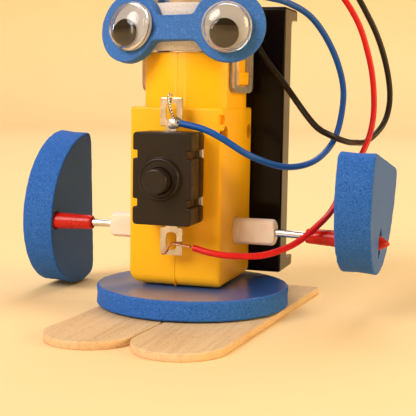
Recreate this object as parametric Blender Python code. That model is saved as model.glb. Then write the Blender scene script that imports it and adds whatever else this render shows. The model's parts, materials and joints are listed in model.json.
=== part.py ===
"""A walking craft robot: a gear motor standing on end on craft sticks, with eccentric foam paddles.

Sizes are in millimetres; MM turns them into Blender's metres. +Z is up, the switch faces -Y and the
output shaft runs along X. The floor is Z = 0 and the gearbox stands over the origin.
"""

import math

import bmesh
import bpy
from mathutils import Matrix, Vector

MM = 0.001
GAP = 0.3  # between pieces that touch
FIT = 0.1  # between a pin or shaft and its bore

# Craft sticks and foam base
STICK_WIDTH = 17.4
STICK_THICK = 1.5
STICK_LENGTH = 69.5
STICK_TURN = math.radians(-3.95)
STICK_SPACING = STICK_WIDTH + 0.4
STICK_MEET = (1.3, -32.7)  # a point on the line where the two sticks meet
STICK_TIPS = (-43.6, -45.6)  # Y of the front tips, left and right
BASE_RADIUS = 19.7
BASE_CENTRE = (1.7, -4.6)
BASE_LOW = STICK_THICK + GAP
BASE_HIGH = 5.75

# Gearbox housing
BOX_LEFT = -9.9
BOX_RIGHT = 9.4
BOX_HALF_Y = 11.25
BOX_LOW = BASE_HIGH + GAP
BOX_HIGH = 41.85
BOX_WALL = 1.4
SEAM = 0.1  # half of the gap between the two halves
NECK_RADIUS = 11.25
NECK_FLAT = 8.6
NECK_HIGH = 52.65
MOUNT_HOLE_RADIUS = 1.5
MOUNT_HOLE_Y = 8.75
MOUNT_HOLE_Z = 36.85
SCREW_RADIUS = 1.0
SCREW_HEAD_RADIUS = 1.9
SCREW_PLACES = ((8.6, 8.7), (-8.4, 27.5))
HOOK = (-2.7, 5.7, 46.55, 49.15)  # Y and Z limits of the strap hooks

# Gear train: teeth, module, and where the shafts are as (Y, Z)
AXLE_Z = 16.55
SPUR_MODULE = 0.48
SECOND_MODULE = 0.40
CROWN_MODULE = 0.5
BIG_TEETH = 36
SMALL_TEETH = 9
CROWN_TEETH = 24
MOTOR_TEETH = 8
COMPOUND_Y = 2.0
STAGE_ONE = SPUR_MODULE * (BIG_TEETH + SMALL_TEETH) / 2
STAGE_TWO = SECOND_MODULE * (BIG_TEETH + SMALL_TEETH) / 2
COMPOUND_Z = AXLE_Z + math.sqrt(STAGE_ONE**2 - COMPOUND_Y**2)
CROWN_Z = COMPOUND_Z + math.sqrt(STAGE_TWO**2 - COMPOUND_Y**2)
GEAR_PIN_RADIUS = 0.7
CROWN_TIP = 2.3  # X of the crown's tooth tips, its face and its back
CROWN_FACE = 3.45
CROWN_BACK = 4.6
SHAFT_RADIUS = 2.7
SHAFT_HALF = 17.9
SHAFT_FLAT = 1.85

# Motor, whose axis stands a little to the right
MOTOR_X = 0.5
CAN_RADIUS = 10.0
CAN_FLAT = 7.5
CAN_LOW = 45.0
CAN_HIGH = 63.6
CAN_WALL = 0.6
CAP_HIGH = 65.2
MOTOR_SHAFT_RADIUS = 0.8
TERMINAL_Y = 8.3

# Rods, sleeves and foam paddles
ROD_RADIUS = 0.8
PADDLE_CHORD = 4.5
PADDLE_THICK = 7.0
LEFT_INNER = -31.35
LEFT_RADIUS = 17.5
LEFT_CENTRE = (14.9, 1.3)  # Y and Z from the axle
RIGHT_INNER = 32.25
RIGHT_RADIUS = 18.4
RIGHT_CENTRE = (2.2, 11.15)
RIGHT_DROOP = math.radians(2.6)

# Switch, on the front of the gearbox
SWITCH_X = 0.3
SWITCH_Z = 28.35
SWITCH_WIDTH = 11.8
SWITCH_HEIGHT = 17.8
SWITCH_BACK = -12.65
SWITCH_SPLIT = -15.2
SWITCH_FRONT = -20.65
COLLAR_RADIUS = 4.1
COLLAR_RISE = 1.1
BUTTON_X = 0.1
BUTTON_Z = 28.05
BUTTON_RADIUS = 2.5
BUTTON_REACH = 2.65
BUTTON_HOLLOW = 2.2
FLANGE_THICK = 1.0
FLANGE_BACK = SWITCH_FRONT + 1.2 + GAP + FLANGE_THICK
LUG_Y = -14.5
LUG_THICK = 0.4

# Battery holder and AA cells
HOLDER_LEFT = -15.5
HOLDER_RIGHT = 16.05
HOLDER_FRONT = 12.35
HOLDER_DEPTH = 15.0
END_DEPTH = 12.0
SIDE_DEPTH = 6.0  # the side walls are low between the ends
END_WIDTH = 2.4
HOLDER_LOW = 6.05
HOLDER_HIGH = 63.35
HOLDER_SIDE = 1.0
HOLDER_END = 1.3
CELL_RADIUS = 6.95
CELL_X = 7.25
CELL_Y = 20.75
CELL_LENGTH = 49.0
NUB_LENGTH = 1.2

# Head tape, glasses and googly eyes
TAPE_INNER = CAN_RADIUS + GAP
TAPE_OUTER = 11.4
GLASSES_MIDDLE = (1.0, -14.7, 57.25)
GLASSES_THICK = 2.2
LENS_RADIUS = 7.1
LEFT_LENS = (-12.0, 0.35)  # distances along the bent sheet and up it, from its middle
RIGHT_LENS = (10.1, 0.45)
LEFT_EYE = (-10.2, 0.1)
RIGHT_EYE = (9.65, 0.05)
BRIDGE_HALF = 2.45
LEFT_BEND = math.radians(-20)
RIGHT_BEND = math.radians(16)
LEFT_LEAN = math.radians(10)  # the left lens leans back
BEND_HALF = 5.0
EYE_RADIUS = 4.85
PUPIL_RADIUS = 2.72
LEFT_PUPIL = (1.78, math.radians(40))  # how far off centre each pupil hangs, and at what angle from down
RIGHT_PUPIL = (1.2, math.radians(22))

WIRE_RADIUS = 0.65
STRAND_RADIUS = 0.42
TOP_STRANDS = [
    (-0.1, -14.3, 44.3), (-0.25, -14.95, 44.3), (-0.45, -15.05, 43.3), (-0.15, -15.05, 42.0),
    (0.2, -15.05, 40.9), (0.8, -15.35, 39.9), (1.95, -16.15, 39.0),
]  # fmt: skip
BOTTOM_STRANDS = [
    (-1.35, -15.05, 13.1), (-0.6, -15.1, 13.9), (0.0, -14.95, 14.8), (0.6, -14.8, 15.25),
    (1.6, -15.15, 15.3), (3.2, -15.8, 15.2), (4.9, -16.25, 15.0),
]  # fmt: skip

BLUE_ROUTE = [
    (2.4, -16.3, 38.9), (7.1, -16.3, 37.9), (10.8, -16.0, 36.2), (15.8, -13.0, 32.8), (20.6, -4.5, 30.4),
    (24.4, 5.0, 31.1), (27.0, 11.8, 34.8), (28.4, 13.2, 40.3), (28.8, 12.0, 46.9), (27.1, 8.0, 54.0),
    (23.8, 3.0, 60.0), (19.9, -3.0, 62.7), (15.6, -7.9, 63.7), (10.2, -9.0, 65.7), (3.2, -9.5, 67.2),
]  # fmt: skip
RED_ROUTE = [
    (5.5, -16.3, 14.9), (9.2, -16.4, 14.1), (13.2, -15.6, 13.7), (18.7, -13.0, 13.8), (23.8, -8.5, 15.7),
    (27.5, -2.5, 19.2), (28.9, 4.5, 21.8), (29.9, 13.0, 26.8), (32.3, 20.6, 32.9), (33.6, 23.0, 38.4),
    (33.7, 23.5, 44.9), (32.6, 22.8, 52.5), (29.6, 21.6, 61.3), (24.0, 20.0, 68.4), (15.5, 18.2, 70.8),
    (9.2, 16.8, 68.8), (7.2, 16.2, 64.8), (7.0, 16.2, 62.5),
]  # fmt: skip
BLACK_ROUTE = [
    (2.6, 9.8, 67.2), (7.6, 10.3, 62.4), (11.2, 9.6, 54.3), (17.3, 8.0, 46.7), (23.8, 6.6, 38.8),
    (27.2, 7.6, 36.5), (29.5, 12.8, 35.1), (30.6, 18.8, 34.6), (32.3, 26.0, 34.8), (35.3, 31.0, 38.8),
    (36.3, 30.5, 45.0), (35.0, 28.0, 53.5), (31.8, 25.2, 61.8), (26.0, 23.6, 70.2), (15.5, 21.6, 75.2),
    (4.0, 19.4, 74.4), (-2.2, 17.2, 69.8), (-3.6, 16.3, 65.0), (-3.8, 16.2, 62.5),
]  # fmt: skip


# ---------------------------------------------------------------- helpers


def material(name, colour, roughness, metallic=0.0, alpha=1.0):
    made = bpy.data.materials.new(name)
    made.use_nodes = True
    shader = made.node_tree.nodes["Principled BSDF"]
    shader.inputs["Base Color"].default_value = (*colour, 1.0)
    shader.inputs["Roughness"].default_value = roughness
    shader.inputs["Metallic"].default_value = metallic
    shader.inputs["Alpha"].default_value = alpha
    made.diffuse_color = (*colour, alpha)
    return made


def pivot(name, place):
    empty = bpy.data.objects.new(name, None)
    empty.location = Vector(place) * MM
    bpy.context.collection.objects.link(empty)
    return empty


def put(name, shape, look=None, parent=None):
    """Links a bmesh drawn in millimetres as an object; a parent is an empty on the piece's joint axis."""
    bmesh.ops.recalc_face_normals(shape, faces=shape.faces)
    offset = parent.location / MM if parent else Vector((0, 0, 0))
    for vert in shape.verts:
        vert.co = (vert.co - offset) * MM
    mesh = bpy.data.meshes.new(name)
    shape.to_mesh(mesh)
    shape.free()
    piece = bpy.data.objects.new(name, mesh)
    bpy.context.collection.objects.link(piece)
    if look:
        mesh.materials.append(look)
        mesh.shade_smooth()
        mesh.set_sharp_from_angle(angle=math.radians(35))
    piece.parent = parent
    return piece


def boolean(piece, operation, shape):
    helper = put(f"{piece.name}_{operation.lower()}_{len(piece.modifiers)}", shape)
    if piece.parent:
        helper.parent = piece.parent
        helper.matrix_parent_inverse = piece.parent.matrix_basis.inverted()
    helper.hide_render = True
    helper.display_type = "WIRE"
    step = piece.modifiers.new(operation.title(), "BOOLEAN")
    step.operation = operation
    step.object = helper


def cut(piece, *shapes):
    for shape in shapes:
        boolean(piece, "DIFFERENCE", shape)


def weld(piece, *shapes):
    for shape in shapes:
        boolean(piece, "UNION", shape)


def lift(axis, a, b, t):
    """A point of a flat outline (a, b), set t along the axis."""
    return {"X": (t, a, b), "Y": (a, t, b), "Z": (a, b, t)}[axis]


def prism(axis, outline, low, high):
    shape = bmesh.new()
    ends = [[shape.verts.new(lift(axis, a, b, t)) for a, b in outline] for t in (low, high)]
    shape.faces.new(ends[0])
    shape.faces.new(ends[1])
    count = len(outline)
    for i in range(count):
        j = (i + 1) % count
        shape.faces.new((ends[0][i], ends[0][j], ends[1][j], ends[1][i]))
    return shape


def block(low, high):
    (x0, y0, z0), (x1, y1, z1) = low, high
    return prism("Z", [(x0, y0), (x1, y0), (x1, y1), (x0, y1)], z0, z1)


def circle(radius, centre=(0.0, 0.0), sides=24):
    turns = [2 * math.pi * (i + 0.5) / sides for i in range(sides)]
    return [(centre[0] + radius * math.cos(t), centre[1] + radius * math.sin(t)) for t in turns]


def rod(axis, radius, low, high, centre=(0.0, 0.0), sides=24):
    return prism(axis, circle(radius, centre, sides), low, high)


def turned(profile, sides=24):
    """A body of revolution about Z from (radius, height) pairs that start and end on the axis."""
    shape = bmesh.new()
    rings = []
    for radius, height in profile:
        if radius == 0:
            rings.append([shape.verts.new((0, 0, height))] * sides)
            continue
        turns = [2 * math.pi * i / sides for i in range(sides)]
        rings.append([shape.verts.new((radius * math.cos(t), radius * math.sin(t), height)) for t in turns])
    for lower, upper in zip(rings, rings[1:]):
        for i in range(sides):
            j = (i + 1) % sides
            corners = dict.fromkeys((lower[i], lower[j], upper[j], upper[i]))
            shape.faces.new(list(corners))
    return shape


def moved(shape, matrix):
    bmesh.ops.transform(shape, matrix=matrix, verts=shape.verts)
    return shape


def at_motor(shape):
    """Shifts a shape that is drawn about the Z axis to the motor's own axis."""
    return moved(shape, Matrix.Translation((MOTOR_X, 0, 0)))


def bevelled(shape, edges, width, segments):
    bmesh.ops.bevel(shape, geom=edges, offset=width, segments=segments, profile=0.5, affect="EDGES")
    return shape


def middle(edge):
    return (edge.verts[0].co + edge.verts[1].co) / 2


def runs_along(edge, axis):
    step = edge.verts[1].co - edge.verts[0].co
    return abs(step["XYZ".index(axis)]) > 0.99 * step.length


def flatted_circle(radius, flat, sides=32):
    """A circle cut by flats at +X and -X."""
    half = math.acos(flat / radius)
    count = sides // 2
    turns = [half + (math.pi - 2 * half) * i / (count - 1) for i in range(count)]
    upper = [(radius * math.cos(t), radius * math.sin(t)) for t in turns]
    return upper + [(-x, -y) for x, y in upper]


def rounded_rectangle(width, height, radius, centre=(0.0, 0.0), steps=3):
    points = []
    for quarter, (sx, sy) in enumerate(((1, 1), (-1, 1), (-1, -1), (1, -1))):
        for i in range(steps + 1):
            turn = math.pi / 2 * (quarter + i / steps)
            points.append(
                (
                    centre[0] + sx * (width / 2 - radius) + radius * math.cos(turn),
                    centre[1] + sy * (height / 2 - radius) + radius * math.sin(turn),
                )
            )
    return points


def smooth_route(points, spacing):
    """A Catmull-Rom curve through the points, read at an even spacing."""
    knots = [Vector(p) for p in points]
    knots = [2 * knots[0] - knots[1], *knots, 2 * knots[-1] - knots[-2]]
    fine = []
    for a, b, c, d in zip(knots, knots[1:], knots[2:], knots[3:]):
        for step in range(20):
            t = step / 20
            fine.append(
                0.5
                * (2 * b + (c - a) * t + (2 * a - 5 * b + 4 * c - d) * t**2 + (3 * b - a - 3 * c + d) * t**3)
            )
    fine.append(knots[-2])
    lengths = [0.0]
    for p, q in zip(fine, fine[1:]):
        lengths.append(lengths[-1] + (q - p).length)
    count = max(3, round(lengths[-1] / spacing) + 1)
    route, at = [], 0
    for i in range(count):
        goal = lengths[-1] * i / (count - 1)
        while at < len(fine) - 2 and lengths[at + 1] < goal:
            at += 1
        share = (goal - lengths[at]) / (lengths[at + 1] - lengths[at])
        route.append(fine[at].lerp(fine[at + 1], share))
    return route


def tube(name, points, radius, look, parent=None, bevel_resolution=2):
    curve = bpy.data.curves.new(name, "CURVE")
    curve.dimensions = "3D"
    curve.bevel_depth = radius * MM
    curve.bevel_resolution = bevel_resolution
    curve.use_fill_caps = True
    spline = curve.splines.new("POLY")
    spline.points.add(len(points) - 1)
    offset = parent.location / MM if parent else Vector((0, 0, 0))
    for knot, point in zip(spline.points, points):
        knot.co = (*((Vector(point) - offset) * MM), 1)
    curve.materials.append(look)
    piece = bpy.data.objects.new(name, curve)
    bpy.context.collection.objects.link(piece)
    piece.parent = parent
    return piece


# ---------------------------------------------------------------- sticks and foam base


def stick(name, side, tip_y, look):
    """Half of a wide craft stick: round in front, cut square behind."""
    radius = STICK_WIDTH / 2
    turns = [math.pi + math.pi * i / 18 for i in range(19)]
    outline = [(radius * math.cos(t), radius + radius * math.sin(t)) for t in turns]
    outline += [(radius, STICK_LENGTH), (-radius, STICK_LENGTH)]
    shape = prism("Z", outline, 0, STICK_THICK)
    turn = Matrix.Rotation(STICK_TURN, 4, "Z")
    across = turn @ Vector((side * STICK_SPACING / 2, 0, 0))
    ahead = turn @ Vector((0, 1, 0))
    start = Vector((*STICK_MEET, 0)) + across
    start += ahead * ((tip_y - start.y) / ahead.y)
    put(name, moved(shape, Matrix.Translation(start) @ turn), look)


def sticks(look):
    stick("craft_stick_left", -1, STICK_TIPS[0], look)
    stick("craft_stick_right", 1, STICK_TIPS[1], look)


def foam_base(look):
    shape = prism("Z", circle(BASE_RADIUS, BASE_CENTRE, 48), BASE_LOW, BASE_HIGH)
    put("foam_base", shape, look)


# ---------------------------------------------------------------- gearbox housing


def housing_half(name, side, look):
    """One half shell of the gearbox, with the round neck that holds the motor."""
    corner = 2.0 if side < 0 else 0.7
    inner, outer = side * SEAM, BOX_LEFT if side < 0 else BOX_RIGHT
    body = block((inner, -BOX_HALF_Y, BOX_LOW), (outer, BOX_HALF_Y, BOX_HIGH))
    low_ends = [edge for edge in body.edges if runs_along(edge, "X") and middle(edge).z < BOX_LOW + 1]
    bevelled(body, low_ends, 2.8, 3)
    rim = [edge for edge in body.edges if abs(middle(edge).x - outer) < 0.01]
    bevelled(body, [edge for edge in rim if middle(edge).z < BOX_HIGH - 1], corner, 3 if side < 0 else 1)
    half = put(name, body, look)

    arc = [(x + MOTOR_X, y) for x, y in flatted_circle(NECK_RADIUS, NECK_FLAT, 40) if x * side > 1]
    arc.sort(key=lambda p: p[1])
    neck = [(inner, -NECK_RADIUS), *arc, (inner, NECK_RADIUS)]
    weld(half, prism("Z", neck, BOX_HIGH - 3, NECK_HIGH))

    past = -side * 1.0
    reach = outer - side * BOX_WALL
    cut(
        half,
        block((past, BOX_WALL - BOX_HALF_Y, BOX_LOW + BOX_WALL), (reach, BOX_HALF_Y - BOX_WALL, 40.5)),
        at_motor(rod("Z", 6.95, 40.0, 43.5, sides=32)),
        at_motor(rod("Z", 3.4, 43.2, 45.2, sides=16)),
        at_motor(prism("Z", flatted_circle(CAN_RADIUS + 0.2, CAN_FLAT + 0.2), CAN_LOW - GAP, NECK_HIGH + 1)),
    )

    wall = outer - side * 0.7
    for y, z in SCREW_PLACES:
        edge = math.copysign(BOX_HALF_Y - 1.0, y)
        near = y - math.copysign(1.45, y)
        low = BOX_LOW + 1.0 if z < 12 else z - 1.5
        weld(half, block((inner, min(edge, near), low), (wall, max(edge, near), z + 1.5)))
    for sign in (-1, 1):
        sides = sorted((sign * 7.05, sign * (BOX_HALF_Y - 1.0)))
        weld(half, block((inner, sides[0], MOUNT_HOLE_Z - 2.0), (wall, sides[1], MOUNT_HOLE_Z + 2.0)))
    for y, z in ((COMPOUND_Y, COMPOUND_Z), (0, CROWN_Z)):
        weld(half, rod("X", 1.7, *sorted((side * 7.3, wall)), (y, z), 16))
    weld(half, at_motor(block((side * 8.0, HOOK[0], HOOK[2]), (side * 9.5, HOOK[1], HOOK[3]))))

    ends = sorted((past, outer + side))
    for sign in (-1, 1):
        cut(half, rod("X", MOUNT_HOLE_RADIUS, *ends, (sign * MOUNT_HOLE_Y, MOUNT_HOLE_Z), 20))
    cut(half, rod("X", SHAFT_RADIUS + FIT, *ends, (0, AXLE_Z), 32))
    for y, z in ((COMPOUND_Y, COMPOUND_Z), (0, CROWN_Z)):
        cut(half, rod("X", GEAR_PIN_RADIUS + FIT, *sorted((side * 7, side * 8.6)), (y, z), 16))
    for y, z in SCREW_PLACES:
        deep = sorted((past, outer + side if side < 0 else 7.5))
        cut(half, rod("X", SCREW_RADIUS + FIT, *deep, (y, z), 16))
        if side < 0:
            cut(half, rod("X", SCREW_HEAD_RADIUS + 0.2, BOX_LEFT - 1, BOX_LEFT + 1.0, (y, z), 20))
    if side > 0:
        for low, high in ((39.3, 40.9), (33.2, 34.6)):
            cut(half, block((8.7, -BOX_HALF_Y - 1, low), (10.4, -9.7, high)))


def housing_screws(look):
    """Two low-headed screws that clamp the halves, sunk into the left side."""
    for number, (y, z) in enumerate(SCREW_PLACES, 1):
        head = BOX_LEFT + 1.0 - GAP
        profile = [
            (0, 0), (SCREW_RADIUS, 0), (SCREW_RADIUS, 15.2), (SCREW_HEAD_RADIUS, 15.2),
            (SCREW_HEAD_RADIUS, 15.55), (1.3, 15.8), (0, 15.86),
        ]  # fmt: skip
        place = Matrix.Translation((head + 15.2, y, z)) @ Matrix.Rotation(-math.pi / 2, 4, "Y")
        screw = put(f"housing_screw_{number}", moved(turned(profile, 16), place), look)
        for size in ((0.2, 1.0), (1.0, 0.2)):
            cut(screw, block((head - 2, y - size[0], z - size[1]), (head - 0.25, y + size[0], z + size[1])))


# ---------------------------------------------------------------- gear train


def gear_outline(teeth, module, addendum, root_share, tip_share, turn):
    step = 2 * math.pi / teeth
    tip = module * (teeth / 2 + addendum)
    root = module * (teeth / 2 - 1.25)
    corners = ((root, -root_share), (tip, -tip_share), (tip, tip_share), (root, root_share))
    points = []
    for i in range(teeth):
        for radius, share in corners:
            angle = turn + (i + share) * step
            points.append((radius * math.cos(angle), radius * math.sin(angle)))
    return points


def spur(teeth, module, low, high, centre, turn):
    outline = [(y + centre[0], z + centre[1]) for y, z in gear_outline(teeth, module, 0.7, 0.3, 0.14, turn)]
    return prism("X", outline, low, high)


def output_gear(look, axle):
    """The last gear, round the output shaft. A tooth points at the compound gear."""
    towards = math.atan2(COMPOUND_Z - AXLE_Z, COMPOUND_Y)
    gear = put("output_gear", spur(BIG_TEETH, SPUR_MODULE, -6.4, -3.9, (0, AXLE_Z), towards), look, axle)
    weld(gear, rod("X", 4.0, -7.6, -3.7, (0, AXLE_Z)))
    cut(gear, rod("X", SHAFT_RADIUS + FIT, -9, 0, (0, AXLE_Z), 32))


def compound_gear(look, hinge):
    """A small gear on the output gear, in one piece with a large gear on the crown's pinion."""
    centre = (COMPOUND_Y, COMPOUND_Z)
    down = math.atan2(AXLE_Z - COMPOUND_Z, -COMPOUND_Y)
    up = math.atan2(CROWN_Z - COMPOUND_Z, -COMPOUND_Y)
    half_step = math.pi / SMALL_TEETH
    small = spur(SMALL_TEETH, SPUR_MODULE, -6.6, -3.2, centre, down + half_step)
    gear = put("compound_gear", small, look, hinge)
    weld(gear, spur(BIG_TEETH, SECOND_MODULE, -3.3, -1.6, centre, up), rod("X", 1.6, -1.8, 6.9, centre, 20))
    cut(gear, rod("X", GEAR_PIN_RADIUS + FIT, -8, 8, centre, 16))


def crown_gear(look, hinge):
    """A face gear turned by the motor's pinion, in one piece with a small pinion."""
    centre = (0.0, CROWN_Z)
    down = math.atan2(COMPOUND_Z - CROWN_Z, COMPOUND_Y)
    pinion = spur(SMALL_TEETH, SECOND_MODULE, -3.5, -1.2, centre, down + math.pi / SMALL_TEETH)
    gear = put("crown_gear", pinion, look, hinge)
    weld(gear, rod("X", 1.25, -1.4, CROWN_FACE + 0.1, centre, 20))
    weld(gear, rod("X", 6.8, CROWN_FACE, CROWN_BACK, centre, 48))
    weld(gear, rod("X", 1.6, CROWN_BACK - 0.2, 6.9, centre, 20))
    weld(gear, crown_teeth(centre))
    cut(gear, rod("X", GEAR_PIN_RADIUS + FIT, -8, 8, centre, 16))


def crown_teeth(centre):
    """Wedges that stand out of the crown's face, one of them straight up."""
    step = 2 * math.pi / CROWN_TEETH
    pitch = CROWN_MODULE * CROWN_TEETH / 2
    shape = bmesh.new()
    for i in range(CROWN_TEETH):
        place = Matrix.Translation((0, *centre)) @ Matrix.Rotation(i * step, 4, "X")
        root, tip = 0.18 * step * pitch, 0.10 * step * pitch
        outline = [(CROWN_FACE + 0.2, -root), (CROWN_TIP, -tip), (CROWN_TIP, tip), (CROWN_FACE + 0.2, root)]
        tooth = [(place @ Vector((x, y, 5.0)), place @ Vector((x, y, 6.7))) for x, y in outline]
        inner = [shape.verts.new(p) for p, _ in tooth]
        outer = [shape.verts.new(p) for _, p in tooth]
        shape.faces.new(inner)
        shape.faces.new(outer)
        for a in range(4):
            b = (a + 1) % 4
            shape.faces.new((inner[a], inner[b], outer[b], outer[a]))
    return shape


def motor_pinion(look, hinge):
    """Eight teeth round the motor shaft; a gap faces the crown's upright tooth."""
    outline = gear_outline(MOTOR_TEETH, CROWN_MODULE, 0.6, 0.24, 0.12, math.pi / MOTOR_TEETH)
    gear = put("motor_pinion", at_motor(prism("Z", outline, 40.5, 43.2)), look, hinge)
    cut(gear, at_motor(rod("Z", MOTOR_SHAFT_RADIUS + FIT, 40, 44, sides=16)))


def gear_pins(look):
    for name, centre in (("compound_pin", (COMPOUND_Y, COMPOUND_Z)), ("crown_pin", (0, CROWN_Z))):
        put(name, rod("X", GEAR_PIN_RADIUS, -8.3, 8.3, centre, 16), look)


# ---------------------------------------------------------------- motor


def motor_can(look):
    shell = prism("Z", flatted_circle(CAN_RADIUS, CAN_FLAT), CAN_LOW, CAN_HIGH)
    can = put("motor_can", at_motor(shell), look)
    hollow = flatted_circle(CAN_RADIUS - CAN_WALL, CAN_FLAT - CAN_WALL)
    weld(can, at_motor(rod("Z", 3.0, CAN_LOW - 1.3, CAN_LOW + 0.3, sides=16)))
    cut(
        can,
        at_motor(prism("Z", hollow, CAN_LOW + 0.8, CAN_HIGH + 1)),
        at_motor(rod("Z", MOTOR_SHAFT_RADIUS + FIT, 43, 47, sides=16)),
    )


def motor_end_cap(look):
    """The nylon cap that carries the rear bearing and the two terminals."""
    inside = flatted_circle(CAN_RADIUS - CAN_WALL - 0.2, CAN_FLAT - CAN_WALL - 0.2, 24)
    rim = flatted_circle(CAN_RADIUS, CAN_FLAT)
    cap = put("motor_end_cap", at_motor(prism("Z", rim, CAN_HIGH + GAP, CAP_HIGH)), look)
    weld(
        cap,
        at_motor(prism("Z", inside, CAN_HIGH - 1.6, CAN_HIGH + 0.6)),
        at_motor(rod("Z", 2.8, CAP_HIGH - 0.3, CAP_HIGH + 1.4, sides=16)),
    )
    cut(cap, at_motor(rod("Z", MOTOR_SHAFT_RADIUS + FIT, CAN_HIGH - 3, CAP_HIGH + 0.6, sides=16)))
    for y in (-TERMINAL_Y, TERMINAL_Y):
        slot = block((-1.4, y - 0.5, CAN_HIGH - 3), (1.4, y + 0.5, CAP_HIGH + 1))
        cut(cap, at_motor(slot))


def motor_terminals(look):
    for name, y in (("motor_terminal_front", -TERMINAL_Y), ("motor_terminal_rear", TERMINAL_Y)):
        low, high = CAN_HIGH - 0.8, CAP_HIGH + 3.1
        outline = [(-1.1, low), (1.1, low), (1.1, high - 0.7), (0.5, high), (-0.5, high), (-1.1, high - 0.7)]
        lug = put(name, at_motor(prism("Y", outline, y - 0.2, y + 0.2)), look)
        cut(lug, at_motor(rod("Y", 0.45, y - 1, y + 1, (0, high - 1.3), 12)))


def motor_insides(steel, copper, magnet, hinge):
    """Shaft and armature, which turn, between two fixed magnets."""
    shaft = rod("Z", MOTOR_SHAFT_RADIUS, 40.3, CAP_HIGH + 0.3, sides=16)
    put("motor_shaft", at_motor(shaft), steel, hinge)
    outline = []
    for i in range(3):
        for share, radius in ((-0.42, 5.0), (-0.2, 5.4), (0.0, 5.5), (0.2, 5.4), (0.42, 5.0), (0.5, 3.2)):
            angle = 2 * math.pi * (i + share) / 3
            outline.append((radius * math.cos(angle), radius * math.sin(angle)))
    armature = put("motor_armature", at_motor(prism("Z", outline, 48.5, 57.5)), copper, hinge)
    cut(armature, at_motor(rod("Z", MOTOR_SHAFT_RADIUS + FIT, 47, 59, sides=16)))
    for name, sign in (("motor_magnet_front", -1), ("motor_magnet_rear", 1)):
        turns = [math.radians(90 + a) for a in (-38, -19, 0, 19, 38)]
        arc = [(9.1 * math.cos(t), 9.1 * math.sin(t)) for t in turns]
        arc += [(6.2 * math.cos(t), 6.2 * math.sin(t)) for t in reversed(turns)]
        put(name, at_motor(prism("Z", [(x, sign * y) for x, y in arc], 47.0, 59.5)), magnet)


def motor_strap(look):
    """The clear band over the motor, hooked to the housing on both sides."""
    inner, outer = 8.6, 9.8
    low, shoulder, top = 44.9, 68.9, 70.0
    profile = [
        (outer, low), (inner, low), (inner, shoulder - 2.4), (inner - 2.4, shoulder), (2.4 - inner, shoulder),
        (-inner, shoulder - 2.4), (-inner, low), (-outer, low), (-outer, top - 3), (3 - outer, top),
        (outer - 3, top), (outer, top - 3),
    ]  # fmt: skip
    strap = put("motor_strap", at_motor(prism("Y", profile, -6.3, 8.3)), look)
    cut(strap, block((-12, HOOK[0] - 0.4, 46.2), (12, HOOK[1] + 0.4, 54.5)))


# ---------------------------------------------------------------- axle, rods, sleeves and paddles


def output_shaft(look, axle):
    shaft = put("output_shaft", rod("X", SHAFT_RADIUS, -SHAFT_HALF, SHAFT_HALF, (0, AXLE_Z), 32), look, axle)
    for end in (-1, 1):
        low, high = sorted((end * 10.6, end * (SHAFT_HALF + 1)))
        for y0, y1 in ((-4, -SHAFT_FLAT), (SHAFT_FLAT, 4)):
            cut(shaft, block((low, y0, AXLE_Z - 4), (high, y1, AXLE_Z + 4)))
        bore = sorted((end * 10.0, end * (SHAFT_HALF + 1)))
        cut(shaft, rod("X", ROD_RADIUS + FIT, *bore, (0, AXLE_Z), 16))


def along_right(distance):
    """A point on the right rod's line, which droops a little outside the shaft."""
    beyond = max(0.0, distance - SHAFT_HALF)
    return Vector((distance, 0, AXLE_Z - beyond * math.tan(RIGHT_DROOP)))


def rods(look, axle):
    right = [along_right(x) for x in (10.6, 17.8, 18.5, 30.5)]
    left = [(-10.6, 0, AXLE_Z), (-18.0, 0, AXLE_Z), (-30.0, 0, AXLE_Z)]
    tube("rod_right", right, ROD_RADIUS, look, axle)
    tube("rod_left", left, ROD_RADIUS, look, axle)


def sleeve(name, start, direction, length, look, axle):
    """A soft red tube on the rod's end, thickest in the paddle, with a pinched tip past it."""
    profile = [
        (0, 8.0), (ROD_RADIUS + 0.2, 8.0), (ROD_RADIUS + 0.2, 0), (1.4, 0), (1.55, 0.6), (1.7, 7.5),
        (1.75, 8.4), (1.75, length - 2.2), (1.2, length - 0.8), (0, length),
    ]  # fmt: skip
    turn = direction.to_track_quat("Z", "Y").to_matrix().to_4x4()
    shape = moved(turned(profile, 16), Matrix.Translation(start) @ turn)
    put(name, shape, look, axle)


def sleeves(look, axle):
    droop = Vector((math.cos(RIGHT_DROOP), 0, -math.sin(RIGHT_DROOP)))
    sleeve("sleeve_right", along_right(24.3), droop, 16.9, look, axle)
    sleeve("sleeve_left", Vector((-22.7, 0, AXLE_Z)), Vector((-1, 0, 0)), 14.6, look, axle)


def paddle(name, radius, centre, chord_angle, lean, inner, outward, look, axle):
    """A foam disc with one side cut off, on the rod away from its centre."""
    half = math.acos(PADDLE_CHORD / radius)
    turns = [chord_angle + half + (2 * math.pi - 2 * half) * i / 40 for i in range(41)]
    outline = [(centre[0] + radius * math.cos(t), centre[1] + radius * math.sin(t)) for t in turns]
    shape = prism("X", outline, *sorted((0.0, outward * PADDLE_THICK)))
    tips = [Vector(outline[0]), Vector(outline[-1])]
    across = [edge for edge in shape.edges if runs_along(edge, "X")]
    sharp = [edge for edge in across if min((middle(edge).yz - tip).length for tip in tips) < 0.01]
    bevelled(shape, sharp, 1.6, 3)
    place = Matrix.Translation((inner, 0, AXLE_Z)) @ Matrix.Rotation(lean, 4, "Y")
    return put(name, moved(shape, place), look, axle)


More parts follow.
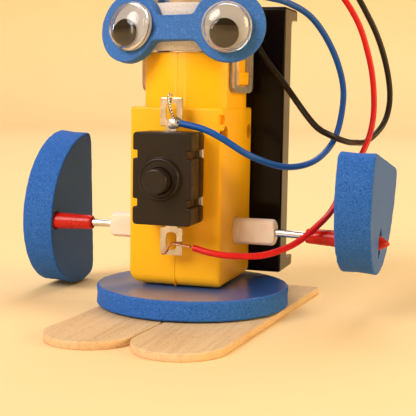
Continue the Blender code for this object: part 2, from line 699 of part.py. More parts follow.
def paddles(look, axle):
    chord, lean = math.radians(11.5), math.radians(3.9)
    left = paddle("paddle_left", LEFT_RADIUS, LEFT_CENTRE, chord, lean, LEFT_INNER, -1, look, axle)
    cut(left, rod("X", 1.95, -42, -28, (0, AXLE_Z)))
    chord, lean = math.radians(81.6), math.radians(2.3)
    right = paddle("paddle_right", RIGHT_RADIUS, RIGHT_CENTRE, chord, lean, RIGHT_INNER, 1, look, axle)
    hole = rod("Z", 1.95, -4, 14)
    droop = Matrix.Rotation(math.pi / 2 + RIGHT_DROOP, 4, "Y")
    cut(right, moved(hole, Matrix.Translation(along_right(RIGHT_INNER)) @ droop))


# ---------------------------------------------------------------- switch


def switch_outline(grow=0.0):
    """The switch body from the front: rounded corners, and two notches in each side."""
    width, height = SWITCH_WIDTH / 2 + grow, SWITCH_HEIGHT / 2 + grow
    points = []
    for side in (1, -1):
        flank = []
        for up in (-1, 1):
            corner = [(width - 0.9, up * height), (width - 0.25, up * (height - 0.25))]
            corner.append((width, up * (height - 0.9)))
            near, far = up * 5.4, up * 3.9
            notch = [(width, near), (width - 0.9, near), (width - 0.9, far), (width, far)]
            stretch = corner + notch
            flank += stretch if up < 0 else stretch[::-1]
        points += [(SWITCH_X + side * x, SWITCH_Z + side * z) for x, z in flank]
    return points


def switch_body(look):
    base = put("switch_base", prism("Y", switch_outline(), SWITCH_SPLIT, SWITCH_BACK), look)
    cover = put("switch_cover", prism("Y", switch_outline(), SWITCH_FRONT, SWITCH_SPLIT - GAP), look)
    centre = (BUTTON_X, BUTTON_Z)
    weld(cover, rod("Y", COLLAR_RADIUS, SWITCH_FRONT - COLLAR_RISE, SWITCH_FRONT + 0.5, (BUTTON_X, SWITCH_Z)))
    cut(
        cover,
        rod("Y", 4.3, SWITCH_FRONT + 1.2, SWITCH_SPLIT, centre),
        rod("Y", BUTTON_RADIUS + 0.15, SWITCH_FRONT - 2, SWITCH_SPLIT, centre),
    )
    for x, sign in ((0.0, 1), (0.3, -1)):
        low, high = sorted((SWITCH_Z + sign * 5.0, SWITCH_Z + sign * 10))
        cut(base, block((x - 1.5, LUG_Y - 0.2, low), (x + 1.5, LUG_Y + LUG_THICK + 0.2, high)))


def switch_button(look, slide):
    """The push button, with a flange behind the cover and a hollow back for its spring."""
    tip = FLANGE_BACK - SWITCH_FRONT + COLLAR_RISE + BUTTON_REACH
    profile = [
        (0, BUTTON_HOLLOW), (1.7, BUTTON_HOLLOW), (1.7, 0), (3.9, 0), (3.9, FLANGE_THICK),
        (BUTTON_RADIUS, FLANGE_THICK), (BUTTON_RADIUS, tip - 0.3), (BUTTON_RADIUS - 0.3, tip), (0, tip),
    ]  # fmt: skip
    place = Matrix.Translation((BUTTON_X, FLANGE_BACK, BUTTON_Z)) @ Matrix.Rotation(math.pi / 2, 4, "X")
    put("switch_button", moved(turned(profile, 24), place), look, slide)


def switch_spring(look):
    """A coil spring between the base and the hollow of the button."""
    turns, steps, radius, thick = 5, 8, 1.2, 0.17
    back = SWITCH_SPLIT - GAP - thick
    front = FLANGE_BACK - BUTTON_HOLLOW + GAP / 2 + thick
    points = []
    for i in range(turns * steps + 1):
        angle = 2 * math.pi * i / steps
        share = i / (turns * steps)
        across, up = radius * math.cos(angle), radius * math.sin(angle)
        points.append((BUTTON_X + across, back + (front - back) * share, BUTTON_Z + up))
    tube("switch_spring", points, thick, look, bevel_resolution=1)


def switch_lugs(look):
    for name, x, sign in (("switch_lug_top", 0.0, 1), ("switch_lug_bottom", 0.3, -1)):
        start = SWITCH_Z + sign * (SWITCH_HEIGHT / 2 + 1.0)
        tip = start + sign * 5.5
        rounded = [(2.0, tip), (2.3, tip - sign * 0.3), (2.3, start + sign * 0.3), (2.0, start)]
        outline = rounded + [(1.15, start), (1.15, SWITCH_Z + sign * 5.4)]
        outline += [(-a, b) for a, b in reversed(outline)]
        outline = [(x + a, b) for a, b in outline]
        lug = put(name, prism("Y", outline, LUG_Y, LUG_Y + LUG_THICK), look)
        slot = rounded_rectangle(2.2, 3.6, 0.6, (x, (start + tip) / 2))
        cut(lug, prism("Y", slot, LUG_Y - 1, LUG_Y + 1))


def switch_tape(look):
    pad = block((SWITCH_X - 5.5, -12.35, SWITCH_Z - 8.5), (SWITCH_X + 5.5, -11.55, SWITCH_Z + 8.5))
    put("switch_tape", pad, look)


# ---------------------------------------------------------------- battery holder


def battery_holder(look):
    """An open tray for two cells side by side, its flat back to the gearbox."""
    back = HOLDER_FRONT + HOLDER_DEPTH
    low, high = (HOLDER_LEFT, HOLDER_FRONT, HOLDER_LOW), (HOLDER_RIGHT, back, HOLDER_HIGH)
    tray = put("battery_holder", block(low, high), look)
    room = block(
        (HOLDER_LEFT + HOLDER_SIDE, HOLDER_FRONT + 1.2, HOLDER_LOW + HOLDER_END),
        (HOLDER_RIGHT - HOLDER_SIDE, back + 1, HOLDER_HIGH - HOLDER_END),
    )
    sides = block(
        (HOLDER_LEFT - 1, HOLDER_FRONT + SIDE_DEPTH, HOLDER_LOW + END_WIDTH),
        (HOLDER_RIGHT + 1, back + 1, HOLDER_HIGH - END_WIDTH),
    )
    ends = block(
        (HOLDER_LEFT - 1, HOLDER_FRONT + END_DEPTH, HOLDER_LOW - 1),
        (HOLDER_RIGHT + 1, back + 1, HOLDER_HIGH + 1),
    )
    cut(tray, room, sides, ends)
    for x in (-3.8, 7.0):
        cut(tray, rod("Z", WIRE_RADIUS + 0.3, HOLDER_HIGH - 3, HOLDER_HIGH + 1, (x, 16.2), 16))


def battery_cells(look):
    """Two AA cells, head to tail."""
    room_low = HOLDER_LOW + HOLDER_END
    room_high = HOLDER_HIGH - HOLDER_END
    profile = [
        (0, 0), (CELL_RADIUS - 0.5, 0), (CELL_RADIUS, 0.5), (CELL_RADIUS, CELL_LENGTH - 0.5),
        (CELL_RADIUS - 0.6, CELL_LENGTH), (2.7, CELL_LENGTH), (2.7, CELL_LENGTH + NUB_LENGTH),
        (0, CELL_LENGTH + NUB_LENGTH),
    ]  # fmt: skip
    up = Matrix.Translation((-CELL_X, CELL_Y, room_high - 1.1 - NUB_LENGTH - CELL_LENGTH))
    down = Matrix.Translation((CELL_X, CELL_Y, room_low + 1.1 + NUB_LENGTH + CELL_LENGTH))
    put("battery_cell_left", moved(turned(profile, 20), up), look)
    put("battery_cell_right", moved(turned(profile, 20), down @ Matrix.Rotation(math.pi, 4, "X")), look)


def battery_contacts(look):
    """Sprung contacts against the flat ends of the cells, and plates against their nubs."""
    low, high = HOLDER_LOW + HOLDER_END + 0.2, HOLDER_HIGH - HOLDER_END - 0.2
    put("battery_link_plate", block((-12.5, 16.5, low), (12.5, 24.0, low + 0.4)), look)
    put("battery_plate_left", block((-12.5, 17.6, high - 0.4), (-2.5, 24.0, high)), look)
    put("battery_plate_right", block((2.5, 17.6, high - 0.4), (12.5, 24.0, high)), look)
    for name, x, start, sign in (
        ("battery_spring_left", -CELL_X, low + 0.95, 1),
        ("battery_spring_right", CELL_X, high - 0.95, -1),
    ):
        points = []
        for i in range(19):
            share = i / 18
            angle = 2 * math.pi * 2 * share
            radius = 4.2 - 1.8 * share
            points.append(
                (x + radius * math.cos(angle), CELL_Y + radius * math.sin(angle), start + sign * 1.45 * share)
            )
        tube(name, points, 0.25, look, bevel_resolution=1)


def holder_tape(look):
    put("holder_tape", block((-8.0, BOX_HALF_Y + GAP, 12.0), (8.0, HOLDER_FRONT - GAP, 40.0)), look)


# ---------------------------------------------------------------- head: tape, glasses and eyes


def head_tape(look):
    """Foam tape round the front of the motor, which the glasses are stuck to."""
    turns = [math.radians(a) for a in range(240, 305, 8)]
    outer = [(TAPE_OUTER * math.cos(t), TAPE_OUTER * math.sin(t)) for t in turns]
    inner = [(TAPE_INNER * math.cos(t), TAPE_INNER * math.sin(t)) for t in reversed(turns)]
    put("head_tape", at_motor(prism("Z", outer + inner, NECK_HIGH + GAP, 62.25)), look)


def bend_share(along):
    return min(1.0, max(0.0, (along + BEND_HALF) / (2 * BEND_HALF)))


def bend_frame(along, up=0.0):
    """Where a point of the glasses lies, the direction it faces, and the direction up the sheet."""
    steps = 40
    place = Vector(GLASSES_MIDDLE)
    for i in range(steps):
        turn = LEFT_BEND + (RIGHT_BEND - LEFT_BEND) * bend_share(along * (i + 0.5) / steps)
        place += Vector((math.cos(turn), math.sin(turn), 0)) * along / steps
    turn = LEFT_BEND + (RIGHT_BEND - LEFT_BEND) * bend_share(along)
    lean = LEFT_LEAN * (1 - bend_share(along))
    level = Vector((math.sin(turn), -math.cos(turn), 0))
    upright = Vector((0, 0, 1))
    normal = level * math.cos(lean) + upright * math.sin(lean)
    rise = upright * math.cos(lean) - level * math.sin(lean)
    return place + rise * up, normal, rise


def lens_arc(centre, start, end):
    along, up = centre
    turns = [start + (end - start) * i / 24 for i in range(25)]
    return [(along + LENS_RADIUS * math.cos(t), up + LENS_RADIUS * math.sin(t)) for t in turns]


def glasses(look):
    """Two round lenses joined by a bridge, cut from a foam sheet and bent round the head."""
    outline = []
    for side, centre in ((1, RIGHT_LENS), (-1, LEFT_LENS)):
        above = math.asin((BRIDGE_HALF - centre[1]) / LENS_RADIUS)
        below = math.asin((BRIDGE_HALF + centre[1]) / LENS_RADIUS)
        if side > 0:
            outline += lens_arc(centre, below - math.pi, math.pi - above)
        else:
            outline += lens_arc(centre, above, 2 * math.pi - below)
        outline += [(side * x, side * BRIDGE_HALF) for x in (2.4, 1.2, 0.0, -1.2, -2.4)]
    shape = bmesh.new()
    rings = []
    for depth in (0.0, -GLASSES_THICK):
        ring = []
        for along, up in outline:
            place, normal, _ = bend_frame(along, up)
            ring.append(shape.verts.new(place + normal * depth))
        rings.append(ring)
    count = len(outline)
    for i in range(count):
        j = (i + 1) % count
        shape.faces.new((rings[0][i], rings[0][j], rings[1][j], rings[1][i]))
    half = count // 2
    for ring in rings:
        # each lens is flat, and the bridge between them is a row of strips
        shape.faces.new(ring[:25])
        shape.faces.new(ring[half:half + 25])
        upper = [ring[24], *ring[25:30], ring[half]]
        lower = [ring[0], *reversed(ring[half + 25:]), ring[half + 24]]
        for a in range(6):
            shape.faces.new((upper[a], upper[a + 1], lower[a + 1], lower[a]))
    put("glasses_foam", shape, look)


def eye(side, centre, hang, white, clear, black):
    """A googly eye: white back, clear dome and a loose pupil that hangs between them."""
    place, normal, rise = bend_frame(*centre)
    seat = Matrix.Translation(place) @ Matrix((rise.cross(normal), rise, normal)).transposed().to_4x4()
    rim = EYE_RADIUS
    back = [(0, 0.25), (rim - 0.15, 0.25), (rim - 0.15, 0.85), (0, 0.85)]
    dome = [
        (0, 3.7), (2.6, 3.4), (4.1, 2.7), (4.6, 2.2), (4.6, 1.1), (rim, 1.1), (rim, 2.2), (4.4, 3.1),
        (2.8, 3.9), (0, 4.3),
    ]  # fmt: skip
    pupil = [(0, 1.15), (PUPIL_RADIUS, 1.15), (PUPIL_RADIUS, 1.95), (0, 1.95)]
    put(f"eye_back_{side}", moved(turned(back, 24), seat), white)
    put(f"eye_dome_{side}", moved(turned(dome, 24), seat), clear)
    hinge = pivot(f"eye_pivot_{side}", place)
    offset, angle = hang
    drop = Matrix.Translation((-offset * math.sin(angle), -offset * math.cos(angle), 0))
    put(f"pupil_{side}", moved(turned(pupil, 20), seat @ drop), black, hinge)


# ---------------------------------------------------------------- wires


def wires(blue, red, black, tinned, copper):
    tube("wire_blue", smooth_route(BLUE_ROUTE, 3.9), WIRE_RADIUS, blue)
    tube("wire_red", smooth_route(RED_ROUTE, 4.2), WIRE_RADIUS, red)
    tube("wire_black", smooth_route(BLACK_ROUTE, 4.2), WIRE_RADIUS, black)
    tube("strands_top", smooth_route(TOP_STRANDS, 0.7), STRAND_RADIUS, tinned)
    tube("strands_bottom", smooth_route(BOTTOM_STRANDS, 0.7), STRAND_RADIUS, copper)


# ---------------------------------------------------------------- the robot


def build():
    for old in list(bpy.data.objects):
        bpy.data.objects.remove(old)

    yellow = material("yellow_plastic", (0.95, 0.58, 0.02), 0.42)
    foam = material("blue_foam", (0.06, 0.22, 0.68), 0.9)
    birch = material("birch", (0.80, 0.62, 0.40), 0.7)
    steel = material("steel", (0.75, 0.75, 0.76), 0.25, 1.0)
    brass = material("brass", (0.80, 0.60, 0.28), 0.3, 1.0)
    tinned = material("tinned_metal", (0.72, 0.71, 0.69), 0.35, 1.0)
    copper = material("copper", (0.78, 0.40, 0.22), 0.35, 1.0)
    nylon = material("nylon", (0.88, 0.84, 0.78), 0.5)
    white = material("white_plastic", (0.90, 0.89, 0.87), 0.4)
    tape = material("foam_tape", (0.92, 0.91, 0.88), 0.8)
    clear = material("clear_plastic", (0.92, 0.93, 0.94), 0.05, alpha=0.3)
    black = material("black_plastic", (0.02, 0.02, 0.02), 0.45)
    magnet = material("ferrite", (0.08, 0.08, 0.09), 0.7)
    sleeve_red = material("red_sleeve", (0.75, 0.03, 0.02), 0.3)
    wrap = material("cell_wrap", (0.10, 0.10, 0.11), 0.35)
    wire_blue = material("blue_pvc", (0.02, 0.10, 0.42), 0.35)
    wire_red = material("red_pvc", (0.72, 0.02, 0.03), 0.35)
    wire_black = material("black_pvc", (0.02, 0.02, 0.02), 0.35)

    axle = pivot("axle_pivot", (0, 0, AXLE_Z))
    compound_hinge = pivot("compound_pivot", (0, COMPOUND_Y, COMPOUND_Z))
    crown_hinge = pivot("crown_pivot", (0, 0, CROWN_Z))
    rotor_hinge = pivot("rotor_pivot", (MOTOR_X, 0, CAN_LOW))
    button_slide = pivot("button_pivot", (BUTTON_X, SWITCH_FRONT, BUTTON_Z))

    sticks(birch)
    foam_base(foam)
    housing_half("housing_left", -1, yellow)
    housing_half("housing_right", 1, yellow)
    housing_screws(steel)
    output_gear(nylon, axle)
    compound_gear(nylon, compound_hinge)
    crown_gear(nylon, crown_hinge)
    gear_pins(steel)
    motor_pinion(nylon, rotor_hinge)
    motor_can(steel)
    motor_end_cap(nylon)
    motor_terminals(brass)
    motor_insides(steel, copper, magnet, rotor_hinge)
    motor_strap(clear)
    output_shaft(nylon, axle)
    rods(steel, axle)
    sleeves(sleeve_red, axle)
    paddles(foam, axle)
    switch_tape(tape)
    switch_body(black)
    switch_button(black, button_slide)
    switch_spring(steel)
    switch_lugs(tinned)
    holder_tape(tape)
    battery_holder(black)
    battery_cells(wrap)
    battery_contacts(steel)
    head_tape(tape)
    glasses(foam)
    eye("left", LEFT_EYE, LEFT_PUPIL, white, clear, black)
    eye("right", RIGHT_EYE, RIGHT_PUPIL, white, clear, black)
    wires(wire_blue, wire_red, wire_black, tinned, copper)


build()
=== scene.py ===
"""Looks for the walking craft robot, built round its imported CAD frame.

Sizes are in millimetres and MM turns them into metres. The switch and the eyes face -Y, the output
shaft runs along X, and the floor is Z = 0.
"""

import json
from math import acos, asin, cos, pi, radians, sin, tan

import bmesh
import bpy
from mathutils import Matrix, Vector, noise


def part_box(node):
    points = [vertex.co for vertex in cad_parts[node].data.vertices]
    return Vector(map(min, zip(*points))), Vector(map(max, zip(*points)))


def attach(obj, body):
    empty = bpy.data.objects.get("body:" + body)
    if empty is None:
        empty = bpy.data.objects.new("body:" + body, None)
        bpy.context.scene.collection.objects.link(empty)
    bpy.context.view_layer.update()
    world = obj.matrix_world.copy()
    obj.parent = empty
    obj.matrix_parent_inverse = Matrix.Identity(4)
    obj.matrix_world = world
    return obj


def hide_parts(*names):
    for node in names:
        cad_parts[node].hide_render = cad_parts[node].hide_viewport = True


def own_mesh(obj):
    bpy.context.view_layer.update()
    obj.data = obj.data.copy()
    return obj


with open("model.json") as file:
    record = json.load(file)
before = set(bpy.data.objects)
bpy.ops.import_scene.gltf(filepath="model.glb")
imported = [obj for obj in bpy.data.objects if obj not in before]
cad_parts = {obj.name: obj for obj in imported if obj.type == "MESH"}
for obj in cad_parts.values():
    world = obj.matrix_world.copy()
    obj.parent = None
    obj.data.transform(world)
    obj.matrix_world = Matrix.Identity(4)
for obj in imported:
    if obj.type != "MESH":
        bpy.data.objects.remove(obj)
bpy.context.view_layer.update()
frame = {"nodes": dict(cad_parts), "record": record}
noise.seed_set(4)  # Blender seeds it from the clock, and each run has to give the same shapes

MM = 0.001
SEAM = 0.02  # half of the gap between the housing halves, which are pressed together
AXLE_Z = 16.55
MOTOR_X = 0.5
STICK_WIDTH = 17.4
STICK_THICK = 1.5
STICK_LENGTH = 69.5
STICK_TURN = radians(-3.95)
STICK_MEET = (1.3, -32.7, 0)  # a point on the line where the two sticks meet
BASE_RADIUS = 19.7
BASE_CENTRE = (1.7, -4.6)
BOX_LEFT, BOX_RIGHT = -9.9, 9.4
BOX_LOW, BOX_HIGH = 6.05, 41.85
BOX_HALF_Y = 11.25
NECK_RADIUS = 11.25
NECK_FLAT = 8.6
MOUNT_HOLES = ((-8.75, 36.85), (8.75, 36.85))  # Y and Z
SCREW_HOLES = ((8.6, 8.7), (-8.4, 27.5))
SHAFT_RADIUS = 2.7
SHAFT_HALF = 17.9
ROD_RADIUS = 0.8
RIGHT_DROOP = radians(2.6)
PADDLE_THICK = 7.0
PADDLE_CHORD = 4.5  # from the foam disc's middle to its cut side
WIRE_RADIUS = 0.65
WIRE_HOLES = ((-3.8, 16.2), (7.0, 16.2))  # X and Y, through the battery holder's top
SWITCH = (0.3, 28.35)  # X and Z of the switch's middle
SWITCH_SPLIT, SWITCH_FRONT = -15.2, -20.65  # Y of the cover's back and front
BUTTON = (0.1, 28.05)
LUG_FRONT = -14.5
CLOUD = (0.3, 0.7)  # the noise values between which most of a material's change happens


def corners(node):
    """The lowest and highest corner of a CAD node, in millimetres."""
    low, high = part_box(node)
    return Vector(low) / MM, Vector(high) / MM


# -------------------- camera and the wires' routes


def make_camera():
    azimuth, down, roll = radians(17.13), radians(6.31), radians(0.93)
    ahead = Vector((-sin(azimuth) * cos(down), cos(azimuth) * cos(down), -sin(down)))
    right = Vector((cos(azimuth), sin(azimuth), 0))
    up = right.cross(ahead)
    across = right * cos(roll) + up * sin(roll)
    upward = up * cos(roll) - right * sin(roll)
    lens = bpy.data.cameras.new("camera")
    lens.lens = 88.86
    lens.clip_start = 0.01
    camera = bpy.data.objects.new("camera", lens)
    bpy.context.collection.objects.link(camera)
    place = Matrix.Translation(Vector((66.07, -203.65, 44.48)) * MM)
    camera.matrix_world = place @ Matrix((across, upward, -ahead)).transposed().to_4x4()
    bpy.context.scene.camera = camera


BLUE_ROUTE = [
    (2.4, -16.3, 38.9), (7.1, -16.3, 37.9), (10.8, -16.0, 36.2), (15.8, -13.0, 32.8), (20.6, -4.5, 30.4),
    (24.4, 5.0, 31.1), (27.0, 11.8, 34.8), (28.4, 13.2, 40.3), (28.8, 12.0, 46.9), (27.1, 8.0, 54.0),
    (23.8, 3.0, 60.0), (19.9, -3.0, 62.7), (15.6, -7.9, 63.7), (10.2, -9.0, 65.7), (3.2, -9.5, 67.2),
]  # fmt: skip
RED_ROUTE = [
    (5.5, -16.3, 14.9), (9.2, -16.4, 14.1), (13.2, -15.6, 13.7), (18.7, -13.0, 13.8), (23.8, -8.5, 15.7),
    (27.5, -2.5, 19.2), (28.9, 4.5, 21.8), (29.9, 13.0, 26.8), (32.3, 20.6, 32.9), (33.6, 23.0, 38.4),
    (33.7, 23.5, 44.9), (32.6, 22.8, 52.5), (29.6, 21.6, 61.3), (24.0, 20.0, 68.4), (15.5, 18.2, 70.8),
    (9.2, 16.8, 68.8), (7.2, 16.2, 64.8), (7.0, 16.2, 62.5),
]  # fmt: skip
BLACK_ROUTE = [
    (2.6, 9.8, 67.2), (7.6, 10.3, 62.4), (11.2, 9.6, 54.3), (17.3, 8.0, 46.7), (23.8, 6.6, 38.8),
    (27.2, 7.6, 36.5), (29.5, 12.8, 35.1), (30.6, 18.8, 34.6), (32.3, 26.0, 34.8), (35.2, 30.78, 38.8),
    (36.3, 30.5, 45.0), (35.0, 28.0, 53.5), (31.8, 25.2, 61.8), (26.0, 23.6, 70.2), (15.5, 21.6, 75.12),
    (4.0, 19.4, 74.4), (-2.2, 17.2, 69.8), (-3.6, 16.3, 65.0), (-3.8, 16.2, 62.5),
]  # fmt: skip

TOP_STRANDS = [
    (-0.1, -14.3, 44.3), (-0.25, -14.95, 44.3), (-0.45, -15.05, 43.3), (-0.15, -15.05, 42.0),
    (0.2, -15.05, 40.9), (0.8, -15.35, 39.9), (1.95, -16.15, 39.0),
]  # fmt: skip
BOTTOM_STRANDS = [
    (-1.35, -15.05, 13.1), (-0.6, -15.1, 13.9), (0.0, -14.95, 14.8), (0.6, -14.8, 15.25),
    (1.6, -15.15, 15.3), (3.2, -15.8, 15.2), (4.9, -16.25, 15.0),
]  # fmt: skip


def smooth_route(points, spacing):
    """A Catmull-Rom curve through the points, read at an even spacing."""
    knots = [Vector(p) for p in points]
    knots = [2 * knots[0] - knots[1], *knots, 2 * knots[-1] - knots[-2]]
    fine = []
    for a, b, c, d in zip(knots, knots[1:], knots[2:], knots[3:]):
        for step in range(20):
            t = step / 20
            bend = (2 * a - 5 * b + 4 * c - d) * t**2 + (3 * b - a - 3 * c + d) * t**3
            fine.append(0.5 * (2 * b + (c - a) * t + bend))
    fine.append(knots[-2])
    lengths = [0.0]
    for p, q in zip(fine, fine[1:]):
        lengths.append(lengths[-1] + (q - p).length)
    count = max(3, round(lengths[-1] / spacing) + 1)
    route, at = [], 0
    for i in range(count):
        goal = lengths[-1] * i / (count - 1)
        while at < len(fine) - 2 and lengths[at + 1] < goal:
            at += 1
        share = (goal - lengths[at]) / (lengths[at + 1] - lengths[at])
        route.append(fine[at].lerp(fine[at + 1], share))
    return route


# -------------------- materials


class Look:
    """A Principled material whose colour, roughness and bump are driven by noise on the object."""

    def __init__(self, name, **fixed):
        self.material = bpy.data.materials.new(name)
        self.material.use_nodes = True
        self.nodes = self.material.node_tree.nodes
        self.links = self.material.node_tree.links
        self.shader = self.nodes["Principled BSDF"]
        for socket, value in fixed.items():
            self.shader.inputs[socket.replace("_", " ")].default_value = value
        self.place = self.nodes.new("ShaderNodeTexCoord").outputs["Object"]

    def add(self, kind, inputs=(), **settings):
        node = self.nodes.new(kind)
        for key, value in settings.items():
            setattr(node, key, value)
        for key, value in dict(inputs).items():
            if isinstance(value, bpy.types.NodeSocket):
                self.links.new(value, node.inputs[key])
            else:
                node.inputs[key].default_value = value
        return node

    def mapped(self, scale=(1, 1, 1), rotation=(0, 0, 0)):
        node = self.add("ShaderNodeMapping", {"Vector": self.place, "Rotation": rotation, "Scale": scale})
        return node.outputs["Vector"]

    def noise(self, size, detail=3.0, roughness=0.5, place=None):
        """Noise whose features are about this many millimetres across."""
        inputs = {"Vector": place or self.place, "Scale": 1 / (size * MM), "Detail": detail, "Roughness": roughness}
        return self.add("ShaderNodeTexNoise", inputs).outputs["Fac"]

    def ramp(self, value, stops):
        node = self.add("ShaderNodeValToRGB", {"Fac": value})
        ramp = node.color_ramp
        while len(ramp.elements) < len(stops):
            ramp.elements.new(0.5)
        for element, (position, colour) in zip(ramp.elements, stops):
            element.position = position
            element.color = (*colour, 1.0)
        return node.outputs["Color"]

    def mix(self, share, a, b, blend="MIX"):
        inputs = {0: share, 6: a if isinstance(a, bpy.types.NodeSocket) else (*a, 1)}
        inputs[7] = b if isinstance(b, bpy.types.NodeSocket) else (*b, 1)
        return self.add("ShaderNodeMix", inputs, data_type="RGBA", blend_type=blend).outputs[2]

    def maths(self, operation, a, b=0.0):
        return self.add("ShaderNodeMath", {0: a, 1: b}, operation=operation).outputs[0]

    def set(self, socket, value):
        self.links.new(value, self.shader.inputs[socket])

    def paint(self, value, first, second):
        """The base colour, from first to second as the value rises."""
        self.set("Base Color", self.ramp(value, list(zip(CLOUD, (first, second)))))

    def rough(self, value, low, high):
        """The roughness, from low to high as the value rises."""
        inputs = {"Value": value, "From Min": CLOUD[0], "From Max": CLOUD[1], "To Min": low, "To Max": high}
        self.set("Roughness", self.add("ShaderNodeMapRange", inputs).outputs["Result"])

    def bump(self, height, depth, strength=1.0):
        """Bump whose full height is this many millimetres."""
        inputs = {"Height": height, "Distance": depth * MM, "Strength": strength}
        self.set("Normal", self.add("ShaderNodeBump", inputs).outputs["Normal"])


def moulded(name, colour, shift, rough, grain, depth, **fixed):
    """Smooth moulded plastic: a little cloudy, with a fine grain that catches the light."""
    look = Look(name, **fixed)
    cloud = look.noise(6.0, 2.0)
    look.paint(cloud, colour, tuple(c * (1 + shift) for c in colour))
    look.rough(look.noise(1.6, 4.0), rough * 0.85, rough * 1.2)
    look.bump(look.noise(grain, 4.0), depth)
    return look.material


def metal(name, colour, rough, brushed=(1, 1, 1), depth=0.012):
    """Metal with faint scratches, drawn out along the axes where brushed is small."""
    look = Look(name, Metallic=1.0)
    streak = look.noise(0.35, 5.0, 0.6, look.mapped(brushed))
    worn = look.noise(2.5, 3.0)
    dark = tuple(c * 0.72 for c in colour)
    look.set("Base Color", look.ramp(worn, [(0.35, dark), (0.6, colour)]))
    look.rough(streak, rough * 0.6, rough * 1.5)
    look.bump(streak, depth)
    return look.material


def foam(name, dark, middle, light, rough, sheen_level, depth=0.09, **fixed):
    """Closed-cell foam: fine cut cells as dark pores and light specks."""
    look = Look(name, Specular_IOR_Level=sheen_level, **fixed)
    cells = look.noise(0.28, 2.0, 0.6)
    pores = look.add("ShaderNodeTexVoronoi", {"Vector": look.place, "Scale": 1 / (0.32 * MM)}).outputs["Distance"]
    grain = look.maths("ADD", look.maths("MULTIPLY", pores, 0.3), look.maths("MULTIPLY", cells, 0.75))
    colour = look.ramp(grain, [(0.38, dark), (0.47, middle), (0.60, middle), (0.71, light)])
    broad = look.ramp(look.noise(9.0, 2.0), [(0.3, (0.92, 0.94, 0.97)), (0.7, (1.0, 1.0, 1.0))])
    look.set("Base Color", look.mix(1.0, colour, broad, "MULTIPLY"))
    look.rough(cells, rough * 0.85, rough * 1.1)
    look.bump(grain, depth, 0.7)
    return look.material


def birch_wood():
    look = Look("birch_wood")
    straight = (0, 0, -STICK_TURN)
    grain = look.noise(0.9, 6.0, 0.62, look.mapped((1, 0.045, 1), straight))
    pores = look.noise(0.22, 2.0, 0.5, look.mapped((1, 0.12, 1), straight))
    tone = look.noise(11.0, 2.0, 0.5, look.mapped((1, 0.3, 1), straight))
    colour = look.ramp(grain, [(0.28, (0.50, 0.30, 0.13)), (0.44, (0.70, 0.46, 0.235)), (0.60, (0.80, 0.56, 0.31))])
    colour = look.mix(0.5, colour, look.ramp(tone, [(0.3, (0.66, 0.42, 0.20)), (0.7, (0.84, 0.62, 0.38))]))
    specks = look.ramp(pores, [(0.30, (0.72, 0.62, 0.5)), (0.42, (1.0, 1.0, 1.0))])
    look.set("Base Color", look.mix(0.8, colour, specks, "MULTIPLY"))
    look.rough(grain, 0.62, 0.5)
    look.bump(look.maths("ADD", grain, pores), 0.06, 0.5)
    return look.material


def cell_wrap():
    """A plain dark wrap with a copper-coloured shoulder, low on the right cell and high on the left."""
    look = Look("cell_wrap", Coat_Weight=0.5)
    at = look.add("ShaderNodeSeparateXYZ", {"Vector": look.place}).outputs
    on_right = look.maths("GREATER_THAN", at["X"], 0.0)
    low_end = look.maths("MULTIPLY", on_right, look.maths("LESS_THAN", at["Z"], 0.0215))
    high = look.maths("GREATER_THAN", at["Z"], 0.0475)
    high_end = look.maths("MULTIPLY", look.maths("SUBTRACT", 1.0, on_right), high)
    band = look.maths("ADD", low_end, high_end)
    scuff = look.noise(2.0, 4.0)
    dark = look.ramp(scuff, [(0.35, (0.012, 0.012, 0.014)), (0.7, (0.030, 0.030, 0.034))])
    gold = look.ramp(scuff, [(0.35, (0.52, 0.26, 0.11)), (0.7, (0.68, 0.38, 0.17))])
    look.set("Base Color", look.mix(band, dark, gold))
    look.set("Metallic", look.maths("MULTIPLY", band, 0.8))
    look.rough(scuff, 0.22, 0.36)
    return look.material


def clear_plastic(name, tint, rough, clarity, index):
    look = Look(name, Transmission_Weight=clarity, IOR=index)
    haze = look.noise(3.0, 3.0)
    look.paint(haze, tint, (1.0, 1.0, 1.0))
    look.rough(haze, rough * 0.6, rough * 1.4)
    look.bump(look.noise(1.8, 2.0), 0.01)
    return look.material


def wire_pvc(name, colour):
    look = Look(name, Specular_IOR_Level=0.3)
    cloud = look.noise(1.4, 3.0)
    look.paint(cloud, tuple(c * 0.85 for c in colour), colour)
    look.rough(look.noise(0.5, 3.0), 0.30, 0.46)
    look.bump(look.noise(0.7, 3.0), 0.02)
    return look.material


def sleeve_material():
    look = Look("sleeve_red", Subsurface_Weight=0.2, Subsurface_Scale=0.0012, Specular_IOR_Level=0.3)
    look.shader.inputs["Subsurface Radius"].default_value = (1.0, 0.25, 0.1)
    cloud = look.noise(2.2, 3.0)
    look.paint(cloud, (0.46, 0.006, 0.003), (0.60, 0.016, 0.005))
    look.rough(look.noise(0.9, 3.0), 0.16, 0.30)
    look.bump(look.noise(1.1, 3.0), 0.05)
    return look.material


def nylon():
    look = Look("nylon", Subsurface_Weight=0.55, Subsurface_Scale=0.0016)
    look.shader.inputs["Subsurface Radius"].default_value = (1.0, 0.6, 0.4)
    cloud = look.noise(3.0, 2.0)
    look.paint(cloud, (0.86, 0.70, 0.58), (0.93, 0.80, 0.69))
    look.rough(look.noise(0.8, 4.0), 0.38, 0.52)
    look.bump(look.noise(0.5, 3.0), 0.012)
    return look.material


